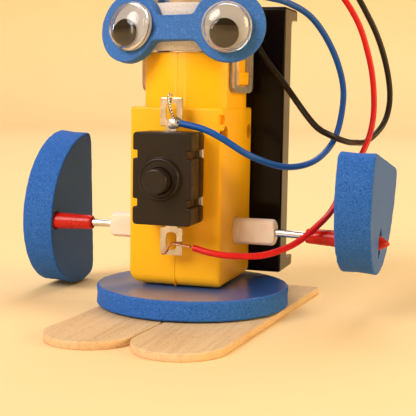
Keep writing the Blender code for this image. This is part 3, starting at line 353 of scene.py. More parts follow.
def foam_tape():
    look = Look("foam_tape", Sheen_Weight=0.15)
    cells = look.noise(0.35, 3.0)
    bands = look.noise(1.1, 2.0, 0.5, look.mapped((0.15, 0.15, 1)))
    colour = look.ramp(cells, [(0.3, (0.64, 0.59, 0.55)), (0.6, (0.78, 0.74, 0.71))])
    shade = look.ramp(bands, [(0.35, (0.93, 0.91, 0.90)), (0.6, (1, 1, 1))])
    look.set("Base Color", look.mix(1.0, colour, shade, "MULTIPLY"))
    look.rough(cells, 0.6, 0.85)
    look.bump(look.maths("ADD", cells, bands), 0.05)
    return look.material


def make_materials():
    yellow = (1.0, 0.50, 0.006)
    warm_black = (0.013, 0.0075, 0.003)
    dull, dark = {"Specular_IOR_Level": 0.25}, {"Specular_IOR_Level": 0.13}
    cut = ((0.010, 0.065, 0.30), (0.028, 0.138, 0.52), (0.06, 0.20, 0.62))
    skin = ((0.020, 0.10, 0.36), (0.028, 0.125, 0.45), (0.035, 0.145, 0.49))
    # face is the same cut foam made lighter for the glasses: painted light for the stronger light falling on their
    # front
    face = ((0.022, 0.12, 0.39), (0.036, 0.158, 0.52), (0.09, 0.25, 0.63))
    return {
        "yellow_plastic": moulded("yellow_plastic", yellow, 0.0, 0.36, 0.5, 0.010, Specular_IOR_Level=0.28),
        "blue_foam": foam("foam_cut", *cut, 0.75, 0.15),
        "foam_skin": foam("foam_skin", *skin, 0.55, 0.18),
        "foam_gloss": foam("foam_gloss", *skin, 0.22, 1.0, 0.02, Coat_Weight=0.7, Coat_Roughness=0.28),
        "foam_cut_lit": foam("foam_cut_lit", *face, 0.6, 0.25, 0.12),
        "birch": birch_wood(),
        "steel": metal("steel_bright", (0.82, 0.80, 0.78), 0.16, (0.03, 1, 1), 0.002),
        "spring_steel": metal("spring_steel", (0.70, 0.69, 0.68), 0.26),
        "brass": metal("brass", (0.80, 0.58, 0.27), 0.28),
        "copper": metal("copper", (0.80, 0.40, 0.22), 0.30),
        # near-white metal for the bead at the top lug's neck: a painted highlight for the light off the lug's bent
        # neck
        "highlight_metal": metal("highlight_metal", (0.95, 0.92, 0.89), 0.40),
        "tinned_metal": metal("tinned_metal", (0.62, 0.57, 0.51), 0.20),
        "ferrite": moulded("ferrite", (0.05, 0.05, 0.055), 0.4, 0.6, 0.3, 0.03),
        "nylon": nylon(),
        "white_plastic": moulded("eye_white", (0.64, 0.63, 0.64), 0.05, 0.35, 0.6, 0.01),
        "pupil_black": moulded("pupil_black", (0.014, 0.007, 0.003), 0.4, 0.08, 2.5, 0.002),
        "clear_plastic": clear_plastic("eye_clear", (0.98, 0.98, 0.97), 0.03, 1.0, 1.42),
        "strap_plastic": clear_plastic("strap_clear", (1.0, 0.90, 0.74), 0.14, 0.74, 1.18),
        "black_plastic": moulded("black_plastic", warm_black, 0.35, 0.42, 0.35, 0.022, **dull),
        "red_sleeve": sleeve_material(),
        "foam_tape": foam_tape(),
        "cell_wrap": cell_wrap(),
        "blue_pvc": wire_pvc("blue_pvc", (0.002, 0.085, 0.42)),
        "red_pvc": wire_pvc("red_pvc", (0.66, 0.008, 0.008)),
        "black_pvc": wire_pvc("black_pvc", (0.014, 0.010, 0.007)),
        "holder_plastic": moulded("holder_plastic", (0.004, 0.0018, 0.0006), 0.5, 0.16, 0.6, 0.006, **dark),
        "button_plastic": moulded("button_plastic", (0.016, 0.011, 0.008), 0.35, 0.30, 0.5, 0.012, **dull),
    }


LOOKS = make_materials()
SLOT_OF = {entry["node"]: entry["material_slot"] for entry in frame["record"]["subparts"]}


# -------------------- mesh helpers, in millimetres


def between(start, end, steps):
    """Evenly spaced numbers from start to end, both included."""
    return [start + (end - start) * i / steps for i in range(steps + 1)]


def arc(radius, turns, centre=(0.0, 0.0)):
    return [(centre[0] + radius * cos(t), centre[1] + radius * sin(t)) for t in turns]


def bent(start, corner, end, shares):
    """Points on the curve from start to end that is pulled towards the corner."""
    return [start * (1 - t) ** 2 + corner * 2 * t * (1 - t) + end * t**2 for t in shares]


def lift(axis, a, b, t):
    """A point of a flat outline (a, b), set t along the axis."""
    return {"X": (t, a, b), "Y": (a, t, b), "Z": (a, b, t)}[axis]


def inset_outline(outline, depth):
    """The outline drawn depth inside itself; it runs anticlockwise."""
    points = [Vector(p) for p in outline]
    made = []
    for before, here, after in zip(points[-1:] + points[:-1], points, points[1:] + points[:1]):
        first, second = (here - before).normalized(), (after - here).normalized()
        one, two = Vector((-first.y, first.x)), Vector((-second.y, second.x))
        made.append(here + (one + two) * depth / max(0.3, 1 + one.dot(two)))
    return made


def rims(thick, edge, steps=4, waist=0.0):
    """(inset, height) pairs across a slab with rounded rims and, if asked, a slight waist."""
    turns = between(0, pi / 2, steps)
    low = [(edge * 1.12, 0.0)] + [(edge * (1 - sin(t)), edge * (1 - cos(t))) for t in turns]
    middle = [(waist, thick / 2)] if waist else []
    return low + middle + [(inset, thick - height) for inset, height in reversed(low)]


def stitch(shape, rings):
    """Faces between each ring of vertices and the next; two that share a vertex make a triangle."""
    for lower, upper in zip(rings, rings[1:]):
        for i in range(len(lower)):
            j = (i + 1) % len(lower)
            shape.faces.new(list(dict.fromkeys((lower[i], lower[j], upper[j], upper[i]))))


def slab(axis, outline, profile, start=0.0, place=None):
    """An outline carried through a profile of (inset, height) pairs; place maps a point elsewhere."""
    shape = bmesh.new()
    rings = []
    for inset, height in profile:
        ring = inset_outline(outline, inset) if inset else outline
        points = [lift(axis, a, b, start + height) for a, b in ring]
        rings.append([shape.verts.new(place(p) if place else p) for p in points])
    stitch(shape, rings)
    shape.faces.new(rings[0])
    shape.faces.new(rings[-1])
    bmesh.ops.recalc_face_normals(shape, faces=shape.faces)
    return shape


def circle(radius, centre=(0.0, 0.0), sides=48):
    return arc(radius, [2 * pi * (i + 0.5) / sides for i in range(sides)], centre)


def rod(axis, radius, low, high, centre=(0.0, 0.0), sides=32):
    return slab(axis, circle(radius, centre, sides), [(0, 0), (0, high - low)], low)


def rectangle(left, low, right, high):
    return [(left, low), (right, low), (right, high), (left, high)]


def block(low, high):
    return slab("Z", rectangle(*low[:2], *high[:2]), [(0, 0), (0, high[2] - low[2])], low[2])


def rounded_box(low, high, edge=0.3):
    outline = rounded(rectangle(*low[:2], *high[:2]), edge)
    return slab("Z", outline, rims(high[2] - low[2], 0.6 * edge, 3), low[2])


def rounded(points, radius, steps=5, only=None):
    """The polygon with its corners, or only the numbered ones, turned into arcs."""
    made = []
    knots = [Vector(p) for p in points]
    for i, (before, here, after) in enumerate(zip(knots[-1:] + knots[:-1], knots, knots[1:] + knots[:1])):
        if only is not None and i not in only:
            made.append(here)
            continue
        start = here + (before - here).normalized() * radius
        end = here + (after - here).normalized() * radius
        made += bent(start, here, end, [step / steps for step in range(steps + 1)])
    return made


def turned(profile, sides=48, ring=False):
    """A body of revolution about Z from (radius, height) pairs, which start and end on the axis or,
    for a ring, go once round its section."""
    shape = bmesh.new()
    rings = []
    for radius, height in profile:
        if radius == 0:
            rings.append([shape.verts.new((0, 0, height))] * sides)
            continue
        points = arc(radius, [2 * pi * i / sides for i in range(sides)])
        rings.append([shape.verts.new((x, y, height)) for x, y in points])
    if ring:
        rings.append(rings[0])
    stitch(shape, rings)
    bmesh.ops.recalc_face_normals(shape, faces=shape.faces)
    return shape


def moved(shape, matrix):
    bmesh.ops.transform(shape, matrix=matrix, verts=shape.verts)
    return shape


def facing_front(x, y, z):
    """Stands a turned shape's axis along -Y, with its origin at the point."""
    return Matrix.Translation((x, y, z)) @ Matrix.Rotation(pi / 2, 4, "X")


def roughened(shape, size, depth):
    """Moves each vertex a little, so that cut edges aren't perfect."""
    for vert in shape.verts:
        vert.co += noise.noise_vector(vert.co / size) * depth
    return shape


def bare(name, shape):
    for vert in shape.verts:
        vert.co *= MM
    mesh = bpy.data.meshes.new(name)
    shape.to_mesh(mesh)
    shape.free()
    piece = bpy.data.objects.new(name, mesh)
    bpy.context.collection.objects.link(piece)
    return piece


def combined(name, base, *cuts, joined=(), within=()):
    """The base shape, joined to some shapes, kept within others and cut by the rest, as one mesh."""
    piece = bare(name, base)
    helpers = []
    for operation, shapes in (("UNION", joined), ("INTERSECT", within), ("DIFFERENCE", cuts)):
        for shape in shapes:
            helpers.append(bare(f"{name}_tool", shape))
            step = piece.modifiers.new(operation, "BOOLEAN")
            step.operation = operation
            step.object = helpers[-1]
    bpy.context.view_layer.update()
    mesh = bpy.data.meshes.new_from_object(piece.evaluated_get(bpy.context.evaluated_depsgraph_get()))
    piece.modifiers.clear()
    piece.data = mesh
    mesh.name = name
    for helper in helpers:
        bpy.data.objects.remove(helper)
    return piece


def finish_piece(piece, body, look, nodes, slot, smooth=35):
    """Gives a piece its material and its body, and hides the CAD nodes that it stands for."""
    piece.data.materials.clear()
    piece.data.materials.append(LOOKS[look])
    if piece.type == "MESH":
        piece.data.shade_smooth()
        piece.data.set_sharp_from_angle(angle=radians(smooth))
    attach(piece, body)
    if nodes:
        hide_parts(*nodes)
    return piece


def add(name, shape, look, nodes=(), slot=None, smooth=35, body="chassis"):
    piece = shape if isinstance(shape, bpy.types.Object) else bare(name, shape)
    return finish_piece(piece, body, look, nodes, slot or look, smooth)


def add_skin(piece, axis, look="foam_skin"):
    """Gives a foam piece's two flat sides, which face along the axis, their smooth skin."""
    piece.data.materials.append(LOOKS[look])
    for face in piece.data.polygons:
        if abs(face.normal.dot(axis)) > 0.97:
            face.material_index = 1
    return piece


def tube(name, points, radius, look, nodes=(), slot=None, resolution=6, as_mesh=False, body="chassis"):
    curve = bpy.data.curves.new(name, "CURVE")
    curve.dimensions = "3D"
    curve.bevel_depth = radius * MM
    curve.bevel_resolution = resolution
    curve.use_fill_caps = True
    spline = curve.splines.new("POLY")
    spline.points.add(len(points) - 1)
    for knot, point in zip(spline.points, points):
        knot.co = (*(Vector(point) * MM), 1)
    piece = bpy.data.objects.new(name, curve)
    if as_mesh:
        mesh = bpy.data.meshes.new_from_object(piece)
        bpy.data.objects.remove(piece)
        piece = bpy.data.objects.new(name, mesh)
    bpy.context.collection.objects.link(piece)
    return finish_piece(piece, body, look, nodes, slot or look)


# -------------------- wires and strands


def make_wires():
    for colour, points in (("blue", BLUE_ROUTE), ("red", RED_ROUTE), ("black", BLACK_ROUTE)):
        route = smooth_route(points, 1.2)
        name = f"wire_{colour}"
        wire = tube(f"{name}_insulation", route, WIRE_RADIUS, f"{colour}_pvc", [name])


def make_strands(name, route, look, node):
    """Bared wire: thin strands twisted round one another along the route."""
    strands, spacing, pitch, offset = 3, 0.12, 1.7, 0.17
    line = smooth_route(route, spacing)
    for number in range(strands):
        points = []
        for i, point in enumerate(line):
            ahead = (line[min(i + 1, len(line) - 1)] - line[max(i - 1, 0)]).normalized()
            across = ahead.cross(Vector((0, 1, 0.2))).normalized()
            turn = 2 * pi * (i * spacing / pitch + number / strands)
            points.append(point + (across * cos(turn) + ahead.cross(across) * sin(turn)) * offset)
        nodes = [node] if number == 0 else []
        tube(f"{name}_{number + 1}", points, 0.15, look, nodes, resolution=3)


# -------------------- craft sticks and foam base


def make_sticks():
    """Round tips at the front, square ends behind; each tip is given by its Y."""
    radius, middle, gap = STICK_WIDTH / 2, 30, 0.4
    outline = arc(radius, between(pi, 2 * pi, 40), (0, radius))
    end = [(radius, middle), (radius, STICK_LENGTH), (-radius, STICK_LENGTH), (-radius, middle)]
    outline += rounded(end, 0.5, 3, (1, 2))
    turn = Matrix.Rotation(STICK_TURN, 4, "Z")
    ahead = turn @ Vector((0, 1, 0))
    for side, name, tip in ((-1, "craft_stick_left", -43.6), (1, "craft_stick_right", -45.6)):
        shape = slab("Z", outline, rims(STICK_THICK, 0.2, 3))
        start = Vector(STICK_MEET) + turn @ Vector((side * (STICK_WIDTH + gap) / 2, 0, 0))
        start += ahead * ((tip - start.y) / ahead.y)
        add(f"{name}_wood", moved(shape, Matrix.Translation(start) @ turn), "birch", [name])


def make_base():
    low, high = corners("foam_base")
    outline = circle(BASE_RADIUS, BASE_CENTRE, 200)
    shape = roughened(slab("Z", outline, rims(high.z - low.z, 0.4, 4, 0.12), low.z), 1.5, 0.07)
    disc = add("foam_base_disc", shape, "blue_foam", ["foam_base"])
    add_skin(disc, Vector((0, 0, 1)), "foam_gloss")


# -------------------- gearbox housing


def weighted_bevel(piece, width, weight_of):
    """Rounds edges by their own amounts: weight_of(middle, direction) is a share of the width."""
    mesh = piece.data
    weights = mesh.attributes.new("bevel_weight_edge", "FLOAT", "EDGE")
    for edge, weight in zip(mesh.edges, weights.data):
        a, b = (mesh.vertices[i].co / MM for i in edge.vertices)
        weight.value = weight_of((a + b) / 2, (b - a).normalized())
    step = piece.modifiers.new("Rounding", "BEVEL")
    step.limit_method = "WEIGHT"
    step.width = width * MM
    step.segments = 6
    bpy.context.view_layer.update()
    made = bmesh.new()
    made.from_object(piece, bpy.context.evaluated_depsgraph_get())
    bpy.data.objects.remove(piece)
    for vert in made.verts:
        vert.co /= MM
    return made


def make_housing_half(side):
    name = "housing_left" if side < 0 else "housing_right"
    outer = BOX_LEFT if side < 0 else BOX_RIGHT
    inner = side * SEAM
    near, far = sorted((inner, outer))
    box = bare(name + "_box", block((near, -BOX_HALF_Y, BOX_LOW), (far, BOX_HALF_Y, BOX_HIGH)))
    widest, front_foot, seam, other = 4.2, 2.2, 0.05, 0.5  # how wide each kind of edge is rounded
    low_side, upright = (2.6, 0.9) if side < 0 else (1.2, 0.8)

    def weight_of(middle, direction):
        at_foot = middle.z < BOX_LOW + 1
        if abs(direction.x) > 0.9:
            if at_foot:
                return (front_foot if middle.y < 0 else widest) / widest
            return other / widest
        if abs(middle.x - outer) > 0.1:
            return seam / widest if abs(direction.y) < 0.9 or middle.z > BOX_HIGH - 1 or at_foot else 0
        if abs(direction.z) > 0.9:
            return upright / widest
        return (low_side if at_foot else other) / widest

    body = weighted_bevel(box, widest, weight_of)

    flat = acos(NECK_FLAT / NECK_RADIUS)
    ring = [Vector(p) for p in arc(NECK_RADIUS, between(flat, pi - flat, 60))]
    ring += [-p for p in ring]
    curve = [(p.x + MOTOR_X, p.y) for p in ring if (p.x + MOTOR_X) * side > 1]
    curve.sort(key=lambda p: p[1] * side)
    neck = [(inner, -11.24 * side), *curve, (inner, 11.24 * side)]
    edge = [(0, 0), (0, 13.2), (0.1, 13.6), (0.4, 13.8), (0.8, 13.8)]

    near, far = sorted((-side, outer - side * 1.4))
    through = sorted((-side, outer + side))
    can = [(p.x * 0.905 + MOTOR_X, p.y * 0.905) for p in ring]
    cuts = [
        block((near, -9.85, 7.45), (far, 9.85, 40.5)),
        slab("Z", can, [(0, 0), (0, 9)], 44.7),
        rod("Z", 6.95, 40.0, 43.5, (MOTOR_X, 0)),
        rod("Z", 3.4, 43.2, 45.2, (MOTOR_X, 0)),
        rod("X", 2.85, *through, (0, AXLE_Z), 48),
        *(rod("X", 1.5, *through, place) for place in MOUNT_HOLES),
    ]
    near, far = sorted((side * 8.0 + MOTOR_X, side * 9.5 + MOTOR_X))
    add(name + "_hook", rounded_box((near, -2.7, 46.55), (far, 5.7, 49.15)), "yellow_plastic")
    if side < 0:
        cuts += [rod("X", 2.1, outer - 1, outer + 1, place) for place in SCREW_HOLES]
    else:
        cuts += [block((8.7, -12.3, low), (10.4, -9.7, high)) for low, high in ((38.7, 40.5), (35.8, 37.5))]
    shell = combined(name + "_shell", body, *cuts, joined=[slab("Z", neck, edge, 38.85)])
    add(name + "_shell", shell, "yellow_plastic", [name], smooth=32)


# -------------------- strap over the motor


def make_strap():
    inner, outer = 8.6, 9.8
    low, shoulder, top = 44.9, 68.9, 70.0
    profile = [
        (outer, low), (outer, top - 3), (outer - 3, top), (3 - outer, top), (-outer, top - 3), (-outer, low),
        (-inner, low), (-inner, shoulder - 2.4), (2.4 - inner, shoulder), (inner - 2.4, shoulder),
        (inner, shoulder - 2.4), (inner, low),
    ]  # fmt: skip
    profile = rounded([(x + MOTOR_X, z) for x, z in profile], 0.9, 4, (1, 2, 3, 4, 7, 8, 9, 10))
    band = slab("Y", profile, rims(14.6, 0.2, 2), -6.3)
    face = rounded(rectangle(-6.5, low, 8.5, top + 2), 3.2, 6, (0, 1))
    window = rounded(rectangle(-3.1, 46.2, 6.1, 54.5), 0.5)
    window, sides = (slab("X", outline, [(0, 0), (0, 26)], -12.5) for outline in (window, face))
    strap = combined("motor_strap_band", band, window, within=[sides])
    add("motor_strap_band", strap, "strap_plastic", ["motor_strap"], "clear_plastic", smooth=40)


# -------------------- shaft, rods, sleeves, paddles


def along_right(distance):
    """A point on the right rod's line, which droops a little outside the shaft."""
    return Vector((distance, 0, AXLE_Z - max(0.0, distance - SHAFT_HALF) * tan(RIGHT_DROOP)))


def make_shaft():
    """Nylon, with two flats at each end and rounded tips."""
    shaft = slab("X", circle(SHAFT_RADIUS, (0, AXLE_Z), 72), rims(2 * SHAFT_HALF, 0.7, 5), -SHAFT_HALF)
    cuts = []
    for side in (-1, 1):
        near, far = sorted((side * 10.65, side * 20))
        for flat in (-1, 1):
            low, high = sorted((flat * 1.85, flat * 4))
            cuts.append(block((near, low, AXLE_Z - 4), (far, high, AXLE_Z + 4)))
        cuts.append(rod("X", ROD_RADIUS + 0.12, *sorted((side * 10, side * 19)), (0, AXLE_Z)))
    add("output_shaft_body", combined("output_shaft_body", shaft, *cuts), "nylon", ["output_shaft"], body="axle")


def make_rods():
    right = smooth_route([along_right(x) for x in (10.6, 14.0, 17.8, 18.5, 24.0, 30.5)], 0.8)
    left = [Vector((x, 0, AXLE_Z)) for x in (-10.6, -18.0, -30.0)]
    tube("rod_right_steel", right, ROD_RADIUS, "steel", ["rod_right"], body="axle")
    tube("rod_left_steel", left, ROD_RADIUS, "steel", ["rod_left"], body="axle")


def make_sleeve(name, start, direction, length):
    """Soft tube shrunk on to the rod: a flared mouth, then a waist, then a pinched tip."""
    wall = ROD_RADIUS + 0.12
    profile = [(0, 8.0), (wall, 8.0), (wall, 0.3), (wall + 0.12, 0.05), (wall + 0.3, 0.0), (1.42, 0.12), (1.5, 0.45)]
    profile += [(1.55, 1.2), (1.60, 3.5), (1.68, 6.5), (1.74, 8.4), (1.74, length - 2.6), (1.62, length - 1.9)]
    profile += [(1.30, length - 1.1), (0.85, length - 0.45), (0.4, length - 0.1), (0, length)]
    shape = turned(profile, 40)
    tip = 2.6
    for vert in shape.verts:
        vert.co.y *= 1 - 0.45 * max(0.0, (vert.co.z - (length - tip)) / tip)
    roughened(shape, 2.2, 0.05)
    turn = direction.to_track_quat("Z", "Y").to_matrix().to_4x4()
    shape = moved(shape, Matrix.Translation(start) @ turn)
    add(f"{name}_rubber", shape, "red_sleeve", [name], smooth=60, body="axle")


def make_paddle(name, radius, centre, chord, lean, inner, outward, cuts):
    """A foam disc with one side cut straight, its two points rounded; lean tilts it on its rod."""
    half = acos(PADDLE_CHORD / radius)
    round_side = [Vector(p) for p in arc(radius, between(chord + half, chord + 2 * pi - half, 150), centre)]
    first, last = round_side[0], round_side[-1]
    cut_side = [last.lerp(first, i / 30) for i in range(3, 28)]
    round_side = [p for p in round_side if min((p - first).length, (p - last).length) > 1.5]
    shares = (0.17, 0.33, 0.5, 0.67, 0.83)
    outline = round_side + bent(round_side[-1], last, cut_side[0], shares)
    outline += cut_side + bent(cut_side[-1], first, round_side[0], shares)
    shape = slab("X", outline, rims(PADDLE_THICK, 0.4, 4, 0.15), min(0.0, outward * PADDLE_THICK))
    roughened(shape, 1.5, 0.07)
    place = Matrix.Translation((inner, 0, AXLE_Z)) @ Matrix.Rotation(lean, 4, "Y")
    disc = combined(f"{name}_disc", moved(shape, place), *cuts)
    disc = add(f"{name}_disc", disc, "blue_foam", [name], smooth=50, body="axle")
    add_skin(disc, Vector((cos(lean), 0, -sin(lean))))


def make_paddles():
    hole = rod("X", 2.05, -42, -28, (0, AXLE_Z))
    make_paddle("paddle_left", 17.5, (14.9, 1.3), radians(11.5), radians(3.9), -31.35, -1, [hole])
    along = Matrix.Translation(along_right(32.25)) @ Matrix.Rotation(pi / 2 + RIGHT_DROOP, 4, "Y")
    bore = moved(rod("Z", 1.98, -4, 14), along)
    slit = [(-3.4, 0), (-1.5, -1.75), (1.5, -1.75), (3.4, 0), (1.5, 1.75), (-1.5, 1.75)]
    tear = moved(slab("Z", rounded(slit, 0.9, 4, (1, 2, 4, 5)), [(0, 0), (0, 5)], 5.2), along)
    make_paddle("paddle_right", 18.4, (2.2, 11.15), radians(81.6), radians(2.3), 32.25, 1, [bore, tear])


# -------------------- switch and its lugs


def switch_outline():
    """The switch from the front: rounded corners, and two notches in each side."""
    width, height = 5.9, 8.9
    right = [
        (width, -height), (width, -5.4), (width - 0.9, -5.4), (width - 0.9, -3.9), (width, -3.9),
        (width, 3.9), (width - 0.9, 3.9), (width - 0.9, 5.4), (width, 5.4), (width, height),
    ]  # fmt: skip
    points = right + [(-x, z) for x, z in reversed(right)]
    made = []
    for i, point in enumerate(points):
        before, after = points[i - 1], points[(i + 1) % len(points)]
        radius = 0.85 if i in (0, 9, 10, 19) else 0.42 if i in (1, 4, 5, 8, 11, 14, 15, 18) else 0.12
        made += rounded([before, point, after], radius, 3, (1,))[1:-1]
    return [(SWITCH[0] + x, SWITCH[1] + z) for x, z in made]


def make_switch():
    outline = switch_outline()
    z = SWITCH[1]
    base = slab("Y", outline, rims(2.55, 0.12, 2), SWITCH_SPLIT)
    slots = ((0.0, z + 5.0, z + 10), (0.3, z - 10, z - 5.0))
    slots = [block((x - 1.4, -14.7, low), (x + 1.4, -13.9, high)) for x, low, high in slots]
    piece = combined("switch_base_body", base, *slots)
    add("switch_base_body", piece, "black_plastic", ["switch_base"], smooth=40)

    front = [(0.26, 0), (0.24, 0), (0.15, 0.03), (0.07, 0.1), (0.02, 0.2), (0, 0.32), (0, 5.0), (0.08, 5.15)]
    cover = slab("Y", outline, front, SWITCH_FRONT)
    seat = facing_front(BUTTON[0], SWITCH_FRONT, BUTTON[1])
    bore = [(0, 1.5), (2.66, 1.5), (2.66, -1.2), (4.3, -1.2), (4.3, -5.6), (0, -5.6)]
    piece = combined("switch_cover_body", cover, moved(turned(bore, 72), seat))
    add("switch_cover_body", piece, "black_plastic", ["switch_cover"], smooth=32)
    collar = [(0, -0.6), (4.25, -0.6), (4.25, -0.02), (4.13, 0.05), (4.1, 0.15), (4.08, 0.8), (4.02, 0.96)]
    collar += [(3.9, 1.06), (3.74, 1.1), (3.6, 1.06), (3.52, 0.98), (3.3, 0.95), (0, 0.95)]
    rim = facing_front(BUTTON[0], SWITCH_FRONT, z)
    hole = [(0, 2), (2.8, 2), (2.66, 0.86), (2.66, -2), (0, -2)]
    collar = combined("switch_cover_collar", moved(turned(collar, 72), rim), moved(turned(hole, 72), seat))
    add("switch_cover_collar", collar, "button_plastic", (), "black_plastic", smooth=32)

    profile = [
        (0, 2.2), (1.7, 2.2), (1.7, 0), (3.8, 0), (3.8, 1.0), (2.52, 1.0), (2.50, 5.86), (2.44, 6.06),
        (2.30, 6.19), (2.1, 6.24), (1.6, 6.21), (0.8, 6.19), (0, 6.18),
    ]  # fmt: skip
    cap = moved(turned(profile, 72), facing_front(BUTTON[0], -18.15, BUTTON[1]))
    add("switch_button_cap", cap, "button_plastic", ["switch_button"], "black_plastic", smooth=40, body="button")


def make_spring():
    """The button's coil spring."""
    radius, back, front, turns, steps = 1.2, -15.67, -20.02, 5, 24
    circles = arc(radius, [2 * pi * i / steps for i in range(turns * steps + 1)], BUTTON)
    points = [(x, y, z) for (x, z), y in zip(circles, between(back, front, turns * steps))]
    slot = SLOT_OF["switch_spring"]
    coil = tube("switch_spring_coil", points, 0.17, "spring_steel", ["switch_spring"], slot, 3, as_mesh=True)
    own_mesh(coil)


def make_lug(name, x, sign):
    """A tinned tab with a slot, on a narrow neck."""
    z = SWITCH[1]
    start = z + sign * 9.9
    tip = start + sign * 5.5
    outline = [
        (-1.15, z + sign * 5.4), (-1.15, start), (-2.3, start), (-2.3, tip), (2.3, tip), (2.3, start),
        (1.15, start), (1.15, z + sign * 5.4),
    ]  # fmt: skip
    outline = rounded([(x + a, b) for a, b in outline], 0.4, 4, (1, 2, 3, 4, 5, 6))
    low, high = start + sign, tip - sign
    slot = rounded([(x - 1.1, low), (x - 1.1, high), (x + 1.1, high), (x + 1.1, low)], 0.9, 5)
    plate = slab("Y", outline if sign < 0 else outline[::-1], rims(0.4, 0.09, 2), LUG_FRONT)
    hole = slab("Y", slot if sign < 0 else slot[::-1], [(0, 0), (0, 3)], -16)
    add(f"{name}_tab", combined(f"{name}_tab", plate, hole), "tinned_metal", [name], smooth=40)


def make_highlight_bead():
    """A near-white metal bead at the top lug's neck, near where the blue wire's strands meet it: a painted highlight
    for the light off the lug's bent neck.
    """
    bead = [(0, -0.1), (1.3, -0.1), (1.25, 0.05), (1.05, 0.2), (0.7, 0.32), (0.35, 0.38), (0, 0.4)]
    place = facing_front(0.5, LUG_FRONT, 38.75)
    bead = roughened(moved(turned(bead, 32), place @ Matrix.Diagonal((1.1, 0.85, 1, 1))), 0.9, 0.12)
    add("highlight_bead", bead, "highlight_metal", (), "tinned_metal", smooth=60)


# -------------------- head: tape, glasses and eyes

LEFT_BEND = radians(-20)
RIGHT_BEND = radians(16)
LEFT_LEAN = radians(10)
LENS_RADIUS = 7.1
BRIDGE_HALF = 2.45


def bend_share(along):
    """0 on the left lens, 1 on the right lens, and rising over the middle 10 mm between them."""
    return min(1.0, max(0.0, (along + 5.0) / 10.0))


def bend_frame(along, up=0.0):
    """Where a point of the glasses lies, the direction it faces, and the direction up the sheet."""
    steps = 40
    place = Vector((1.0, -14.7, 57.25))
    for i in range(steps):
        turn = LEFT_BEND + (RIGHT_BEND - LEFT_BEND) * bend_share(along * (i + 0.5) / steps)
        place += Vector((cos(turn), sin(turn), 0)) * along / steps
    turn = LEFT_BEND + (RIGHT_BEND - LEFT_BEND) * bend_share(along)
    lean = LEFT_LEAN * (1 - bend_share(along))
    level = Vector((sin(turn), -cos(turn), 0))
    upright = Vector((0, 0, 1))
    normal = level * cos(lean) + upright * sin(lean)
    rise = upright * cos(lean) - level * sin(lean)
    return place + rise * up, normal, rise


def glasses_outline():
    """Two lenses and a bridge, with a small fillet where they meet, drawn on the flat sheet."""
    points = []
    fillet = 0.14
    for side, along, up in ((1, 10.1, 0.45), (-1, -12.0, 0.35)):
        above = asin((BRIDGE_HALF - up) / LENS_RADIUS)
        below = asin((BRIDGE_HALF + up) / LENS_RADIUS)
        start, end = (below - pi, pi - above) if side > 0 else (above, 2 * pi - below)
        middle = (along, up)
        lens = [Vector(p) for p in arc(LENS_RADIUS, between(start + fillet, end - fillet, 70), middle)]
        fillets = []
        for corner, lens_end in zip(arc(LENS_RADIUS, (start, end), middle), (lens[0], lens[-1])):
            level = Vector((corner[0] - side * 1.1, corner[1]))
            fillets.append(bent(level, Vector(corner), lens_end, (0, 0.25, 0.5, 0.75)))
        points += fillets[0] + lens + fillets[1][::-1]
        last = points[-1]
        points += [Vector((side * x, last.y)) for x in (2.4, 1.2, 0.0, -1.2, -2.4)]
    return points


def make_glasses():
    def on_sheet(point):
        along, depth, up = point
        place, normal, _ = bend_frame(along, up)
        return place - normal * depth

    shape = slab("Y", glasses_outline(), rims(2.2, 0.35, 4, 0.08), 0.0, on_sheet)
    roughened(shape, 1.3, 0.05)
    # the glasses get the lighter copy of the cut foam: painted light
    add("glasses_sheet", shape, "foam_cut_lit", ["glasses_foam"], "blue_foam", smooth=50)


def make_tapes():
    turns = [radians(t) for t in between(240, 304, 24)]
    outer = arc(11.5, turns, (MOTOR_X, 0))
    inner = arc(10.3, turns[::-1], (MOTOR_X, 0))
    low, high = corners("head_tape")
    shape = slab("Z", outer + inner, rims(high.z - low.z, 0.22, 3), low.z)
    add("head_tape_strip", shape, "foam_tape", ["head_tape"], smooth=50)
    for node in ("holder_tape", "switch_tape"):
        low, high = corners(node)
        pad = rounded_box(low, high, 0.12)
        add(f"{node}_pad", pad, "foam_tape", [node])


def make_eye(side, along, up, offset, angle):
    """An eye on the glasses; its pupil has rolled down by the offset, at the angle from straight down."""
    place, normal, rise = bend_frame(along, up)
    seat = Matrix.Translation(place) @ Matrix((rise.cross(normal), rise, normal)).transposed().to_4x4()
    back = [(0, 0.25), (4.55, 0.25), (4.68, 0.32), (4.72, 0.45), (4.72, 0.75), (4.68, 0.82), (4.55, 0.85), (0, 0.85)]
    add(f"eye_back_{side}_disc", moved(turned(back, 72), seat), "white_plastic", [f"eye_back_{side}"])

    rim = 4.85
    turns = between(0, pi / 2, 14)
    hollow = [(4.15 * cos(t), 2.15 + 1.55 * sin(t)) for t in turns]
    shell = [(4.42 * cos(t), 2.2 + 2.05 * sin(t)) for t in turns]
    inside = hollow[::-1] + [(4.2, 1.9), (4.3, 1.1)]
    outside = [(rim - 0.1, 1.1), (rim, 1.2), (rim, 1.42), (rim - 0.08, 1.54), (4.62, 1.62), (4.5, 1.8)] + shell
    profile = [(0, inside[0][1])] + inside[1:] + outside[:-1] + [(0, shell[-1][1])]
    dome = moved(turned(profile, 72), seat)
    add(f"eye_dome_{side}_shell", dome, "clear_plastic", [f"eye_dome_{side}"], smooth=50)

    radius = 2.72
    disc = [(0, 1.15), (radius - 0.1, 1.15), (radius, 1.22), (radius, 1.75), (radius - 0.12, 1.9), (2.2, 2.02)]
    disc += [(1.2, 2.12), (0, 2.15)]
    drop = Matrix.Translation((-offset * sin(angle), -offset * cos(angle), 0))
    name, pupil = f"pupil_{side}", moved(turned(disc, 64), seat @ drop)
    add(f"{name}_disc", pupil, "pupil_black", [name], smooth=45, body=f"{name}_disc")


# -------------------- battery holder and cells


